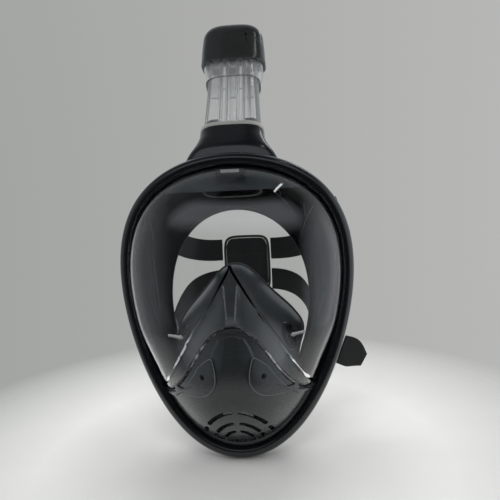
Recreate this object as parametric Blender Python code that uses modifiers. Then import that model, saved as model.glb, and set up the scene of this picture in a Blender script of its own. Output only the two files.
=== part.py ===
"""Full face snorkel mask as an assembly of separate pieces.

Metres, +Z up. The mask faces -Y and stands upright as it is worn. The origin is the centre of the
face opening, where the frame's plane crosses the plane of symmetry, X = 0.
"""

import math

import bmesh
import bpy
import numpy as np
from mathutils import Matrix, Vector

FORWARD = Vector((0, -1, 0))
GAP = 0.0004  # running gap between neighbouring pieces

# ---- driving dimensions -------------------------------------------------------------------------
FRAME_HALF_WIDTH = 0.0960  # before the egg's own swelling, which brings it to 0.0990
FRAME_HALF_HEIGHT = 0.1257
EGG_LEAN = 0.2296  # how much wider the egg is above its middle
EGG_SWELL = 0.1080
FRAME_TILT = 0.08  # the top leans back by this share of its height
FRAME_BOW = 0.012  # the sides sit this far behind the top and the chin

BAND = 0.0095  # the frame's front lip, from its outer edge inwards
LIP_FRONT, LIP_BACK = -0.0080, -0.0032
WALL_INSET = 0.0047
FRAME_BACK = 0.0080
FLANGE_OUT, LENS_EDGE, CHIN_EDGE = 0.0056, 0.0102, 0.0132  # the front stands further in at the chin
LENS_FLANGE = -0.0028
LENS_THICK = 0.0020
SKIRT_FLANGE = -0.0004
SKIRT_THICK = 0.0018
SKIRT_INSET = 0.0152
CLAMP_FRONT, CLAMP_BACK = 0.0018, 0.0070

ARCH_TOP, ARCH_DROP, ARCH_WIDTH, ARCH_POWER = -0.0040, 0.064, 0.038, 2.3
LENS_CENTRE_Z, CHIN_CENTRE_Z = 0.040, -0.075

OPENING_HALF_WIDTH, OPENING_TOP, OPENING_BOTTOM = 0.064, 0.079, -0.100
SKIRT_DEPTH = 0.031

# Snorkel: its axis leaves the socket leaning back by LEAN_BASE and straightens to LEAN_TOP.
SOCKET_TOP = Vector((0, 0.047, 0.1400))
LEAN_BASE, LEAN_TOP = math.radians(42), math.radians(28)
BEND_LENGTH = 0.095
TUBE_HALF_WIDTH, TUBE_HALF_DEPTH = 0.0262, 0.0148
TUBE_TOP_HALF_WIDTH, TUBE_TOP_HALF_DEPTH = 0.0226, 0.0140
TUBE_WALL, PARTITION_X = 0.0022, 0.0075
SPIGOT, TUBE_TOP = 0.020, 0.1000
CAP_EDGE, CAP_TOP = 0.0905, 0.1335
CAP_EDGE_SLANT = 0.0075  # the cap reaches this much lower in front and higher at the back
CHAMBER_TOP = 0.0998
CAP_HALF_WIDTH, CAP_HALF_DEPTH, CAP_SHIFT = 0.0312, 0.0218, 0.0026
SQUARENESS = 3.4  # exponent of the rounded rectangle that the snorkel's sections follow

STRAP_THICK = 0.0018
PIN_RADIUS = 0.0013

# Head harness. The anchors' places are angles round the frame, from its top.
SIDES = [("left", -1), ("right", 1)]
ANCHORS = {"upper": math.radians(56), "lower": math.radians(114)}
ANCHOR_LONG, ANCHOR_EAR = 0.0340, 0.0030
PIN_DEPTH = 0.0150
CLIP_WIDE, CLIP_LONG, CLIP_THICK = 0.0272, 0.0200, 0.0044
BARREL_RADIUS = 0.0034
STRAP_WIDE = 0.0240
HEAD_BACK = 0.1660
PAD_CURVE = 5.6  # the pad's bend round the head, in 1/m
PAD_HALF_WIDTH, PAD_LOW, PAD_HIGH, PAD_THICK = 0.0255, -0.0225, 0.0425, 0.0036
STRAP_END_Z = {"upper": 0.0275, "lower": -0.0075}
LEAVE, ARRIVE = 0.042, 0.062  # how far a strap keeps its direction at the clip and at the pad
TAIL_ROUTE = {
    -1: [(0.0850, 0.0400, -0.0500), (0.0905, 0.0500, -0.0495), (0.0925, 0.0640, -0.0470)],
    1: [(0.0900, 0.0400, -0.0530), (0.1010, 0.0460, -0.0590), (0.1120, 0.0510, -0.0670)],
}
TAIL_HEIGHTS = {-1: (0.0240, 0.0220, 0.0110), 1: (0.0270, 0.0270, 0.0130)}

# Screws in the rear clamp ring, as angles round the frame.
SCREW_ANGLES = [math.radians(a) for a in (28, 84, 146, -28, -84, -146)]


# ---- materials ----------------------------------------------------------------------------------
def material(name, colour, roughness, metallic=0.0, alpha=1.0):
    made = bpy.data.materials.new(name)
    made.use_nodes = True
    shader = made.node_tree.nodes["Principled BSDF"]
    shader.inputs["Base Color"].default_value = (*colour, 1)
    shader.inputs["Roughness"].default_value = roughness
    shader.inputs["Metallic"].default_value = metallic
    shader.inputs["Alpha"].default_value = alpha
    made.diffuse_color = (*colour, alpha)
    return made


# ---- small tools --------------------------------------------------------------------------------
def clear_scene():
    for old in list(bpy.data.objects):
        bpy.data.objects.remove(old)


def collection(name):
    made = bpy.data.collections.new(name)
    bpy.context.scene.collection.children.link(made)
    return made


def add(name, mesh, finish=None, helper=False):
    made = bpy.data.objects.new(name, mesh)
    (HELPERS if helper else PARTS).objects.link(made)
    if finish:
        mesh.materials.append(finish)
    if helper:
        made.hide_render = True
        made.display_type = "WIRE"
    return made


def mesh_from(name, work, out=None):
    """Finishes a mesh. The faces of an open skin are turned to look towards out on the whole."""
    bmesh.ops.recalc_face_normals(work, faces=work.faces)
    if out is not None:
        work.normal_update()
        if sum((f.normal * f.calc_area() for f in work.faces), Vector()).dot(out) < 0:
            bmesh.ops.reverse_faces(work, faces=work.faces)
    mesh = bpy.data.meshes.new(name)
    work.to_mesh(mesh)
    work.free()
    mesh.shade_smooth()
    mesh.set_sharp_from_angle(angle=math.radians(35))
    return mesh


def loft(name, loops, finish=None, wrap=False, caps=True, helper=False, out=None):
    """Joins closed loops of equal length into a skin: capped at both ends, open, or wrapped round."""
    work = bmesh.new()
    rows = [[work.verts.new(p) for p in loop] for loop in loops]
    pairs = list(zip(rows, rows[1:] + rows[:1])) if wrap else list(zip(rows, rows[1:]))
    for a, b in pairs:
        for i in range(len(a)):
            j = (i + 1) % len(a)
            work.faces.new((a[i], a[j], b[j], b[i]))
    if caps and not wrap:
        work.faces.new(rows[0])
        work.faces.new(rows[-1])
    return add(name, mesh_from(name, work, out), finish, helper)


def dome(name, loops, tip, finish):
    """An open skin, facing forwards, of closed loops that shrink to one point, tip."""
    work = bmesh.new()
    rows = [[work.verts.new(p) for p in loop] for loop in loops]
    for a, b in zip(rows, rows[1:]):
        for i in range(len(a)):
            j = (i + 1) % len(a)
            work.faces.new((a[i], a[j], b[j], b[i]))
    top = work.verts.new(tip)
    last = rows[-1]
    for i in range(len(last)):
        work.faces.new((last[i], last[(i + 1) % len(last)], top))
    return add(name, mesh_from(name, work, FORWARD), finish)


def strip(name, rows, finish):
    """An open ribbon from rows of points, for a Solidify."""
    work = bmesh.new()
    made = [[work.verts.new(p) for p in row] for row in rows]
    for a, b in zip(made, made[1:]):
        for i in range(len(a) - 1):
            work.faces.new((a[i], a[i + 1], b[i + 1], b[i]))
    return add(name, mesh_from(name, work), finish)


def solidify(thing, thickness, offset=-1.0, even=True):
    made = thing.modifiers.new("wall", "SOLIDIFY")
    made.thickness = thickness
    made.offset = offset
    made.use_even_offset = even
    return thing


def cut(thing, *cutters, operation="DIFFERENCE"):
    for cutter in cutters:
        made = thing.modifiers.new(operation.lower(), "BOOLEAN")
        made.operation = operation
        made.object = cutter
        made.solver = "EXACT"
    return thing


def round_edges(thing, width, segments=2):
    made = thing.modifiers.new("rounding", "BEVEL")
    made.width = width
    made.segments = segments
    made.limit_method = "ANGLE"
    made.angle_limit = math.radians(40)
    return thing


def box(name, size, matrix, finish=None, helper=False):
    work = bmesh.new()
    bmesh.ops.create_cube(work, size=1)
    bmesh.ops.scale(work, vec=Vector(size), verts=work.verts)
    made = add(name, mesh_from(name, work), finish, helper)
    made.matrix_world = matrix
    return made


def rod(name, radius, length, matrix, finish=None, helper=False, sides=20):
    """A cylinder centred on the matrix's origin, along its Z."""
    work = bmesh.new()
    bmesh.ops.create_cone(
        work, cap_ends=True, segments=sides, radius1=radius, radius2=radius, depth=length
    )
    made = add(name, mesh_from(name, work), finish, helper)
    made.matrix_world = matrix
    return made


def turned(name, profile, matrix, finish, steps=24):
    """A solid of revolution about the matrix's Z. The profile is (radius, height), top to bottom."""
    mesh = bpy.data.meshes.new(name)
    points = [(r, 0, h) for r, h in profile]
    mesh.from_pydata(points, [(i, i + 1) for i in range(len(points) - 1)], [])
    made = add(name, mesh, finish)
    screw = made.modifiers.new("turn", "SCREW")
    screw.steps = screw.render_steps = steps
    screw.use_merge_vertices = True
    screw.merge_threshold = 0.00005
    screw.use_smooth_shade = True
    made.matrix_world = matrix
    return made


def basis(y, z, origin):
    """A right-handed matrix from its unit Y and Z directions and an origin."""
    made = Matrix((y.cross(z), y, z)).transposed().to_4x4()
    made.translation = origin
    return made


def facing(direction, origin, near=Vector((0, 0, 1))):
    """A matrix whose Z is direction and whose X is square to it and to near."""
    z = direction.normalized()
    x = near.cross(z).normalized()
    return basis(z.cross(x), z, origin)


def spaced(first, last, count):
    return [first + (last - first) * k / (count - 1) for k in range(count)]


def through(knots, at):
    """A smooth curve through (place, value) knots, read at a place; its ends run on flat."""
    places = [k[0] for k in knots]
    values = [k[1] for k in knots]
    if at <= places[0]:
        return values[0]
    if at >= places[-1]:
        return values[-1]
    i = max(k for k in range(len(places) - 1) if places[k] <= at)

    def slope(k):
        a, b = max(k - 1, 0), min(k + 1, len(places) - 1)
        return (values[b] - values[a]) / (places[b] - places[a])

    step = places[i + 1] - places[i]
    t = (at - places[i]) / step
    return (
        (2 * t**3 - 3 * t**2 + 1) * values[i]
        + (t**3 - 2 * t**2 + t) * step * slope(i)
        + (3 * t**2 - 2 * t**3) * values[i + 1]
        + (t**3 - t**2) * step * slope(i + 1)
    )


# ---- the mask's form ----------------------------------------------------------------------------
def egg(phi, inset=0.0):
    """(x, z) on the frame's outline, phi from the top towards +X, moved inwards by inset."""

    def raw(angle):
        c = math.cos(angle)
        x = FRAME_HALF_WIDTH * math.sin(angle) * (1 + EGG_LEAN * c + EGG_SWELL * c * c)
        return x, FRAME_HALF_HEIGHT * c

    x, z = raw(phi)
    x1, z1 = raw(phi + 0.001)
    x0, z0 = raw(phi - 0.001)
    dx, dz = x1 - x0, z1 - z0
    size = math.hypot(dx, dz)
    return x + inset * dz / size, z - inset * dx / size


def plane(x, z):
    """Depth of the frame's middle surface."""
    return FRAME_TILT * z + FRAME_BOW * (x / 0.099) ** 2


def rim(phi, inset, depth):
    x, z = egg(phi, inset)
    return Vector((x, plane(x, z) + depth, z))


def edge_inset(phi):
    """How far in from the frame's outline the lens and chin cover rise."""
    t = min(1.0, max(0.0, (abs(math.remainder(phi, math.tau)) - 1.66) / 0.35))
    return LENS_EDGE + (CHIN_EDGE - LENS_EDGE) * t * t * (3 - 2 * t)


EDGE_ANGLES = np.linspace(-math.pi, math.pi, 721)
EDGE_POINTS = np.array([egg(a, edge_inset(a)) for a in EDGE_ANGLES])
EDGE_BEARINGS = np.unwrap(np.arctan2(EDGE_POINTS[:, 0], EDGE_POINTS[:, 1]))
EDGE_RADII = np.hypot(EDGE_POINTS[:, 0], EDGE_POINTS[:, 1])


def lens_share(x, z):
    """0 at the middle of the lens outline, 1 on it."""
    return math.hypot(x, z) / float(np.interp(math.atan2(x, z), EDGE_BEARINGS, EDGE_RADII))


# Depth of the front along the middle line, with the nose and chin, and without them: (z, y).
MID_LINE = [
    (-0.119, -0.018), (-0.105, -0.032), (-0.085, -0.047), (-0.060, -0.059), (-0.035, -0.061),
    (-0.010, -0.056), (0.005, -0.050), (0.025, -0.043), (0.045, -0.0395), (0.080, -0.031),
    (0.105, -0.021), (0.119, -0.012),
]
BASE_LINE = [
    (-0.119, -0.018), (-0.090, -0.034), (-0.060, -0.041), (-0.020, -0.043), (0.025, -0.042),
    (0.045, -0.0395), (0.080, -0.031), (0.105, -0.021), (0.119, -0.012),
]
# Half width of the nose and chin's swelling at each height, and of the flat along its ridge.
SWELL_WIDTH = [
    (-0.119, 0.050), (-0.060, 0.058), (-0.020, 0.050), (0.000, 0.040), (0.025, 0.020), (0.042, 0.008)
]
RIDGE_WIDTH = [
    (-0.119, 0.010), (-0.060, 0.012), (-0.010, 0.004), (0.010, 0.005), (0.042, 0.0065)
]
FRONT_ROUNDNESS = 0.200  # radius of the front across the mask


def front(x, z):
    """Depth of the lens and chin front, before it turns back to the frame."""
    base, mid = through(BASE_LINE, z), through(MID_LINE, z)
    flat, width = through(RIDGE_WIDTH, z), through(SWELL_WIDTH, z)
    t = min(1.0, max(0.0, (abs(x) - flat) / max(width - flat, 1e-6)))
    power = 1.3 if z > -0.03 else 1.3 + 0.7 * min(1.0, (-0.03 - z) / 0.04)
    lateral = (1 - t**power) ** 1.3
    return base + x * x / (2 * FRONT_ROUNDNESS) + (mid - base) * lateral


def shell_y(x, z):
    """Depth of the outer surface of the lens and the chin cover."""
    share = min(1.0, lens_share(x, z))
    rise = (1 - share**5) ** (1 / 2.2)
    edge = plane(x, z) + LENS_FLANGE
    return edge + rise * (front(x, z) - edge)


def on_shell(x, z, out=0.0):
    return Vector((x, shell_y(x, z) - out, z))


def shell_normal(x, z):
    """Outward normal of the front surface."""
    e = 0.0015
    dx = (shell_y(x + e, z) - shell_y(x - e, z)) / (2 * e)
    dz = (shell_y(x, z + e) - shell_y(x, z - e)) / (2 * e)
    return Vector((dx, -1, dz)).normalized()


def arch(x):
    """Height of the line between the lens and the chin cover."""
    return ARCH_TOP - ARCH_DROP * (1 - math.exp(-((abs(x) / ARCH_WIDTH) ** ARCH_POWER)))


def beside_arch(x, offset):
    """(x, z) of a point at x on the arch line, moved upwards square to it by offset."""
    slope = (arch(x + 0.0005) - arch(x - 0.0005)) / 0.001
    size = math.hypot(slope, 1)
    return x - offset * slope / size, arch(x) + offset / size


def arch_stations(end, count=13):
    """x along the arch from end to -end, closer together where it meets the frame."""
    shares = [0.98, 0.94] + spaced(0.86, -0.86, count) + [-0.94, -0.98]
    return [end * share for share in shares]


def junction(offset):
    """phi where the lens outline meets the arch line moved up by offset."""
    low, high = math.radians(90), math.radians(170)
    for _ in range(40):
        mid = (low + high) / 2
        x, z = egg(mid, edge_inset(mid))
        low, high = (mid, high) if z > arch(x) + offset else (low, mid)
    return (low + high) / 2


# ---- frame --------------------------------------------------------------------------------------
def hoop(name, section, finish, count=60):
    """A closed ring that follows the frame, from a section of (inset, depth) corners."""
    loops = []
    for k in range(count):
        phi = 2 * math.pi * k / count
        loops.append([rim(phi, inset, depth) for inset, depth in section])
    return loft(name, loops, finish, wrap=True)


def lean_at(s):
    return LEAN_BASE + (LEAN_TOP - LEAN_BASE) * min(1.0, max(0.0, s / BEND_LENGTH))


def axis_at(s, steps=40):
    """(point, direction up the snorkel, direction to its front) at s along its bent axis."""
    point = SOCKET_TOP.copy()
    for k in range(steps):
        lean = lean_at((k + 0.5) * s / steps)
        point += s / steps * Vector((0, math.sin(lean), math.cos(lean)))
    lean = lean_at(s)
    return (
        point,
        Vector((0, math.sin(lean), math.cos(lean))),
        Vector((0, -math.cos(lean), math.sin(lean))),
    )


def rounded(half_width, half_depth, count=24, power=SQUARENESS):
    """Corners of a rounded rectangle, as (across, towards the front)."""
    found = []
    for k in range(count):
        t = 2 * math.pi * (k + 0.5) / count
        c, s = math.cos(t), math.sin(t)
        found.append(
            (
                half_width * math.copysign(abs(c) ** (2 / power), c),
                half_depth * math.copysign(abs(s) ** (2 / power), s),
            )
        )
    return found


def section_at(s, half_width, half_depth, shift_x=0.0, shift_front=0.0, count=24):
    point, _, ahead = axis_at(s)
    return [
        point + Vector((a + shift_x, 0, 0)) + (b + shift_front) * ahead
        for a, b in rounded(half_width, half_depth, count)
    ]


def leaning_section(y, z, half_width, half_depth, sag=0.0, count=24):
    """A section at the socket's lean whose sides droop by sag times their distance squared."""
    ahead = Vector((0, -math.cos(LEAN_BASE), math.sin(LEAN_BASE)))
    return [
        Vector((a, y, z - sag * a * a)) + b * ahead
        for a, b in rounded(half_width, half_depth, count)
    ]


def socket_skin(grow=0.0, below_only=False):
    """Sections of the snorkel socket's outside, from its top down to the snout in the skirt."""
    rows = [
        section_at(0.0, 0.0284 + grow, 0.0170 + grow),
        section_at(-0.008, 0.0290 + grow, 0.0175 + grow),
        leaning_section(0.0360, 0.1278, 0.0318 + grow, 0.0180 + grow, sag=0.5),
        leaning_section(0.0290, 0.1220, 0.0380 + grow, 0.0168 + grow, sag=2.5),
        leaning_section(0.0232, 0.1172, 0.0425 + grow, 0.0130 + grow, sag=4.0),
        leaning_section(0.0300, 0.1100, 0.0285 + grow, 0.0100 + grow, sag=2.0),
        leaning_section(0.0245, 0.1010, 0.0255 + grow, 0.0092 + grow),
        leaning_section(0.0185, 0.0945, 0.0250 + grow, 0.0088 + grow),
    ]
    return rows[5:] if below_only else rows


def make_frame():
    ring = hoop(
        "frame_ring",
        [
            (0.0000, -0.0030), (0.0018, -0.0068), (0.0048, LIP_FRONT), (BAND, -0.0068),
            (BAND, LIP_BACK), (WALL_INSET, LIP_BACK), (WALL_INSET, FRAME_BACK),
            (0.0000, FRAME_BACK),
        ],
        GLOSS_BLACK,
    )
    neck = loft("neck_stock", socket_skin(), helper=True)
    boss = box(
        "button_boss_stock", (0.024, 0.0155, 0.015), button_place(0.0035), helper=True
    )
    channel = loft(
        "socket_channel",
        [
            section_at(0.006, TUBE_HALF_WIDTH + GAP, TUBE_HALF_DEPTH + GAP),
            section_at(-SPIGOT - 0.001, TUBE_HALF_WIDTH + GAP, TUBE_HALF_DEPTH + GAP),
            section_at(-SPIGOT - 0.001, 0.0232, 0.0120),
            leaning_section(0.0300, 0.1100, 0.0258, 0.0078),
            leaning_section(0.0245, 0.1010, 0.0230, 0.0070),
            leaning_section(0.0140, 0.0895, 0.0225, 0.0064),
        ],
        helper=True,
    )
    pocket = box(
        "button_pocket", (0.0172, 0.0112, 0.0100), button_place(0.0070), helper=True
    )
    cut(ring, neck, boss, operation="UNION")
    cut(ring, channel, pocket)
    clamp = hoop(
        "rear_clamp_ring",
        [
            (0.0052, CLAMP_FRONT), (0.0125, CLAMP_FRONT), (0.0125, CLAMP_BACK),
            (0.0052, CLAMP_BACK),
        ],
        MATT_BLACK,
    )
    for k, phi in enumerate(SCREW_ANGLES):
        centre = rim(phi, 0.0087, CLAMP_BACK)
        place = facing(Vector((0, 1, 0)), centre)
        bore = rod(f"clamp_bore_{k + 1}", 0.0016, 0.02, place, helper=True, sides=12)
        seat = rod(
            f"clamp_seat_{k + 1}", 0.0030, 0.0044,
            facing(Vector((0, 1, 0)), centre + Vector((0, 0.0004, 0))), helper=True, sides=16,
        )
        cut(clamp, bore, seat)
        turned(
            f"clamp_screw_{k + 1}",
            [
                (0, 0.0009), (0.0017, 0.0009), (0.0025, 0.0002), (0.0025, -0.0011),
                (0.0012, -0.0011), (0.0012, -0.0044), (0, -0.0044),
            ],
            place, STEEL, steps=14,
        )
    return ring


def button_place(out):
    """Where the release button works, on the back of the socket; Z points out of the wall."""
    point, up, ahead = axis_at(-0.0090)
    return basis(up, -ahead, point - ahead * (0.0175 + out))


def make_button():
    """The snorkel's release button in its pocket, with the spring behind it."""
    button = box("release_button", (0.0162, 0.0102, 0.0050), button_place(0.0088), SATIN_GREY)
    round_edges(button, 0.0008)
    turns, points_a_turn, radius, height = 3, 9, 0.0026, 0.0030
    place = button_place(0.0026)
    coil = bpy.data.curves.new("button_spring", "CURVE")
    coil.dimensions = "3D"
    coil.bevel_depth = 0.00035
    coil.bevel_resolution = 1
    coil.use_fill_caps = True
    line = coil.splines.new("POLY")
    total = turns * points_a_turn + 1
    line.points.add(total - 1)
    for k, point in enumerate(line.points):
        angle = 2 * math.pi * k / points_a_turn
        where = Vector(
            (radius * math.cos(angle), radius * math.sin(angle), height * k / (total - 1))
        )
        point.co = (*(place @ where), 1)
    made = bpy.data.objects.new("button_spring", coil)
    PARTS.objects.link(made)
    coil.materials.append(STEEL)
    return button


# ---- lens, chin cover and skirt -----------------------------------------------------------------
def flange_edge(phi, last):
    """The flange's outer edge, which runs out to nothing where the lens meets the chin cover."""
    return edge_inset(phi) - 0.0004 if last else FLANGE_OUT


def lens_outline(count_egg=36):
    """(boundary, outer row) of the lens: over the top on the frame's side, back along the arch."""
    phi = junction(0.0030)
    boundary, outer = [], []
    for k in range(count_egg + 1):
        angle = -phi + 2 * phi * k / count_egg
        boundary.append(egg(angle, edge_inset(angle)))
        outer.append(rim(angle, flange_edge(angle, k in (0, count_egg)), LENS_FLANGE))
    end = boundary[-1][0]
    for x in arch_stations(end):
        boundary.append(beside_arch(x, 0.0030))
        lip_x, lip_z = beside_arch(x, 0.0012)
        fade = min(1.0, (abs(end) - abs(x)) / 0.012)
        outer.append(on_shell(lip_x, lip_z, out=0.0012 * fade))
    return boundary, outer


def make_lens():
    boundary, outer = lens_outline()
    flat = [on_shell(x, z) for x, z in boundary]
    loops = [outer, flat]
    for share in (0.97, 0.91, 0.80, 0.62, 0.36):
        row = []
        for x, z in boundary:
            row.append(on_shell(x * share, LENS_CENTRE_Z + (z - LENS_CENTRE_Z) * share))
        loops.append(row)
    lens = dome("lens", loops, on_shell(0, LENS_CENTRE_Z), CLEAR)
    return solidify(lens, LENS_THICK, even=False)


def slot_cutters():
    """Curved exhaust slots through the chin cover, as one cutter of separate arcs."""
    centre_z, width, steps = -0.112, 0.0022, 3
    rows = [
        (0.0288, 0.0447, [(6.6, 49), (60, 68)]),
        (0.0203, 0.0321, [(9.9, 53), (64, 75)]),
        (0.0128, 0.0214, [(14, 54), (70, 82)]),
        (0.0068, 0.0060, [(18, 55)]),
    ]
    work = bmesh.new()
    for half_x, half_z, spans in rows:
        for first, last in spans:
            for side in (1, -1):
                add_slot(work, half_x, half_z, centre_z, width, first, last, side, steps)
    return add("exhaust_slots", mesh_from("exhaust_slots", work), helper=True)


def add_slot(work, half_x, half_z, centre_z, width, first, last, side, steps):
    rows = []
    for k in range(steps + 1):
        t = math.radians(first + (last - first) * k / steps)
        row = []
        for out, y in ((-1, -0.09), (1, -0.09), (1, -0.012), (-1, -0.012)):
            grow = 1 + out * width / 2 / half_z
            x = side * half_x * grow * math.sin(t)
            row.append(work.verts.new((x, y, centre_z + half_z * grow * math.cos(t))))
        rows.append(row)
    for a, b in zip(rows, rows[1:]):
        for i in range(4):
            j = (i + 1) % 4
            work.faces.new((a[i], a[j], b[j], b[i]))
    work.faces.new(rows[0])
    work.faces.new(rows[-1])


def make_chin_cover(count_egg=20):
    """Opaque cover of the mouth and chin, from the arch down to the frame, with exhaust slots."""
    phi = junction(-0.0008)
    boundary, outer = [], []
    for k in range(count_egg + 1):
        angle = phi + 2 * (math.pi - phi) * k / count_egg
        boundary.append(egg(angle, edge_inset(angle)))
        outer.append(rim(angle, flange_edge(angle, k in (0, count_egg)), LENS_FLANGE))
    for station in arch_stations(boundary[-1][0]):
        x, z = beside_arch(station, -0.0008)
        boundary.append((x, z))
        outer.append(on_shell(x, z, out=-0.0026))
    loops = [outer, [on_shell(x, z) for x, z in boundary]]
    for share in (0.95, 0.85, 0.65, 0.35):
        row = []
        for x, z in boundary:
            row.append(on_shell(x * share, CHIN_CENTRE_Z + (z - CHIN_CENTRE_Z) * share))
        loops.append(row)
    cover = dome("chin_cover", loops, on_shell(0, CHIN_CENTRE_Z), CHIN_GREY)
    solidify(cover, 0.0018, even=False)
    return cut(cover, slot_cutters())


# The free edge of a leaf-shaped side plate on the chin cover, (x, z); the rest follows the arch.
LEAF = [
    (0.0560, -0.0650), (0.0440, -0.0580), (0.0340, -0.0562), (0.0244, -0.0546), (0.0176, -0.0507),
    (0.0132, -0.0445), (0.0124, -0.0380), (0.0134, -0.0310), (0.0162, -0.0255),
]
LEAF_MIDDLE, LEAF_RISE = (0.0290, -0.0460), 0.0022
CHIN_SCREW = (0.0222, -0.0398)


def leaf_outline(side):
    found = [beside_arch(x, -0.0030) for x in spaced(0.0265, 0.0540, 7)]
    return [(side * x, z) for x, z in found + LEAF]


def make_leaf(side, hand):
    outline = leaf_outline(side)
    middle = (side * LEAF_MIDDLE[0], LEAF_MIDDLE[1])
    loops = []
    for share in (1.0, 0.7, 0.35):
        row = []
        for x, z in outline:
            px, pz = middle[0] + (x - middle[0]) * share, middle[1] + (z - middle[1]) * share
            row.append(on_shell(px, pz, out=LEAF_RISE))
        loops.append(row)
    plate = dome(f"chin_side_plate_{hand}", loops, on_shell(*middle, out=LEAF_RISE), CHIN_GREY)
    solidify(plate, 0.0009)
    x, z = side * CHIN_SCREW[0], CHIN_SCREW[1]
    out = shell_normal(x, z)
    place = facing(out, on_shell(x, z) + out * 0.0024)
    cut(plate, rod(f"leaf_hole_{hand}", 0.0023, 0.008, place, helper=True, sides=14))
    turned(
        f"chin_screw_{hand}",
        [(0, 0.0010), (0.0012, 0.0008), (0.0018, 0.0001), (0.0018, -0.0010), (0, -0.0010)],
        place, STEEL, steps=14,
    )


def opening_edge(phi):
    """(x, z) on the edge of the face opening."""
    middle = (OPENING_TOP + OPENING_BOTTOM) / 2
    half = (OPENING_TOP - OPENING_BOTTOM) / 2
    c = math.cos(phi)
    return OPENING_HALF_WIDTH * math.sin(phi) * (1 + 0.10 * c), middle + half * c


def skirt_point(phi, mix, depth):
    """Between the frame (mix 0) and the face opening (mix 1)."""
    ax, az = egg(phi, SKIRT_INSET)
    bx, bz = opening_edge(phi)
    x, z = ax + (bx - ax) * mix, az + (bz - az) * mix
    bow = 0.010 * mix * (bx / OPENING_HALF_WIDTH) ** 2
    return Vector((x, plane(x, z) + depth + bow, z))


SKIRT_PROFILE = [
    (0.00, SKIRT_FLANGE), (0.05, 0.0060), (0.16, 0.0150), (0.38, 0.0240), (0.68, 0.0290),
    (0.90, SKIRT_DEPTH), (1.00, 0.0300),
]


def make_skirt(count=48):
    """Silicone skirt: flange under the lens, wall going back and lip round the face opening."""
    loops = []
    angles = [2 * math.pi * k / count for k in range(count)]
    loops.append([rim(phi, FLANGE_OUT, SKIRT_FLANGE) for phi in angles])
    for mix, depth in SKIRT_PROFILE:
        loops.append([skirt_point(phi, mix, depth) for phi in angles])
    skirt = loft("face_skirt", loops, SILICONE, caps=False, out=FORWARD)
    solidify(skirt, SKIRT_THICK)
    window = loft("snout_window", socket_skin(grow=0.0006, below_only=True), helper=True)
    return cut(skirt, window)


# ---- nose and mouth pocket with its valves ------------------------------------------------------
CUP_EDGE = [
    (0.000, 0.034), (0.012, 0.029), (0.030, 0.008), (0.047, -0.012), (0.056, -0.029),
    (0.0525, -0.046), (0.0440, -0.067), (0.025, -0.088), (0.000, -0.095),
]
CUP_MIDDLE_Z = -0.040
CUP_THICK = 0.0016
CUP_RIM_DEPTH = [(-0.095, 0.012), (-0.060, 0.019), (-0.020, 0.022), (0.010, 0.014), (0.033, 0.006)]


def cup_outline(count=32):
    """Closed smooth outline of the pocket's rim, (x, z)."""
    half = [Vector((x, 0, z)) for x, z in CUP_EDGE]
    ring = half + [Vector((-p.x, 0, p.z)) for p in reversed(half[1:-1])]
    size = len(ring)
    lengths = [(ring[(i + 1) % size] - ring[i]).length for i in range(size)]
    total, found = sum(lengths), []
    for k in range(count):
        run, i = total * k / count, 0
        while run > lengths[i]:
            run -= lengths[i]
            i += 1
        t = run / lengths[i]
        a, b, c, d = (ring[(i + j) % size] for j in (-1, 0, 1, 2))
        point = 0.5 * (
            2 * b + (c - a) * t + (2 * a - 5 * b + 4 * c - d) * t**2
            + (3 * b - a - 3 * c + d) * t**3
        )
        found.append((point.x, point.z))
    return found


def cup_y(x, z, share):
    """Depth of the pocket's outer surface at a share of the way from its middle to its rim."""
    edge = through(CUP_RIM_DEPTH, z) + 6.0 * x * x
    ahead = shell_y(x, z) + 0.0075
    rise = (1 - share**3.2) ** (1 / 1.9)
    return edge + rise * (ahead - edge)


def cup_point(x, z, share):
    px, pz = x * share, CUP_MIDDLE_Z + (z - CUP_MIDDLE_Z) * share
    return Vector((px, cup_y(px, pz, share), pz))


def valve_place(side):
    """Where an inhale valve sits on the pocket's flank; Z points out of the pocket."""
    return facing(Vector((side * 0.88, -0.34, 0.33)), Vector((side * 0.0428, -0.0088, -0.0238)))


PURGE_PLACE_OUT = Vector((0, -0.86, -0.51))
PURGE_CENTRE = Vector((0, -0.0275, -0.0790))


def make_cup():
    outline = cup_outline()
    loops = []
    for share in (1.0, 0.97, 0.90, 0.75, 0.45):
        loops.append([cup_point(x, z, share) for x, z in outline])
    tip = cup_point(0, CUP_MIDDLE_Z, 0.0)
    cup = solidify(dome("nose_pocket", loops, tip, SMOKY), CUP_THICK)
    for hand, side in SIDES:
        hole = rod(
            f"inhale_port_{hand}", 0.0113, 0.030, valve_place(side), helper=True, sides=24
        )
        cut(cup, hole)
    port = rod(
        "purge_port", 0.0143, 0.044, facing(PURGE_PLACE_OUT, PURGE_CENTRE), helper=True, sides=28
    )
    return cut(cup, port)


def valve_seat(name, place, radius, thick, holes, hole_radius, hole_ring, finish):
    """A round grid plate: a ring of holes and one in the middle for the flap's stem."""
    seat = rod(name, radius, thick, place, finish, sides=24)
    for k in range(holes):
        angle = 2 * math.pi * k / holes
        where = place @ Matrix.Translation(
            (hole_ring * math.cos(angle), hole_ring * math.sin(angle), 0)
        )
        cut(seat, rod(f"{name}_hole_{k}", hole_radius, thick * 3, where, helper=True, sides=8))
    return cut(seat, rod(f"{name}_stem_hole", 0.0015, thick * 3, place, helper=True, sides=8))


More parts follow.
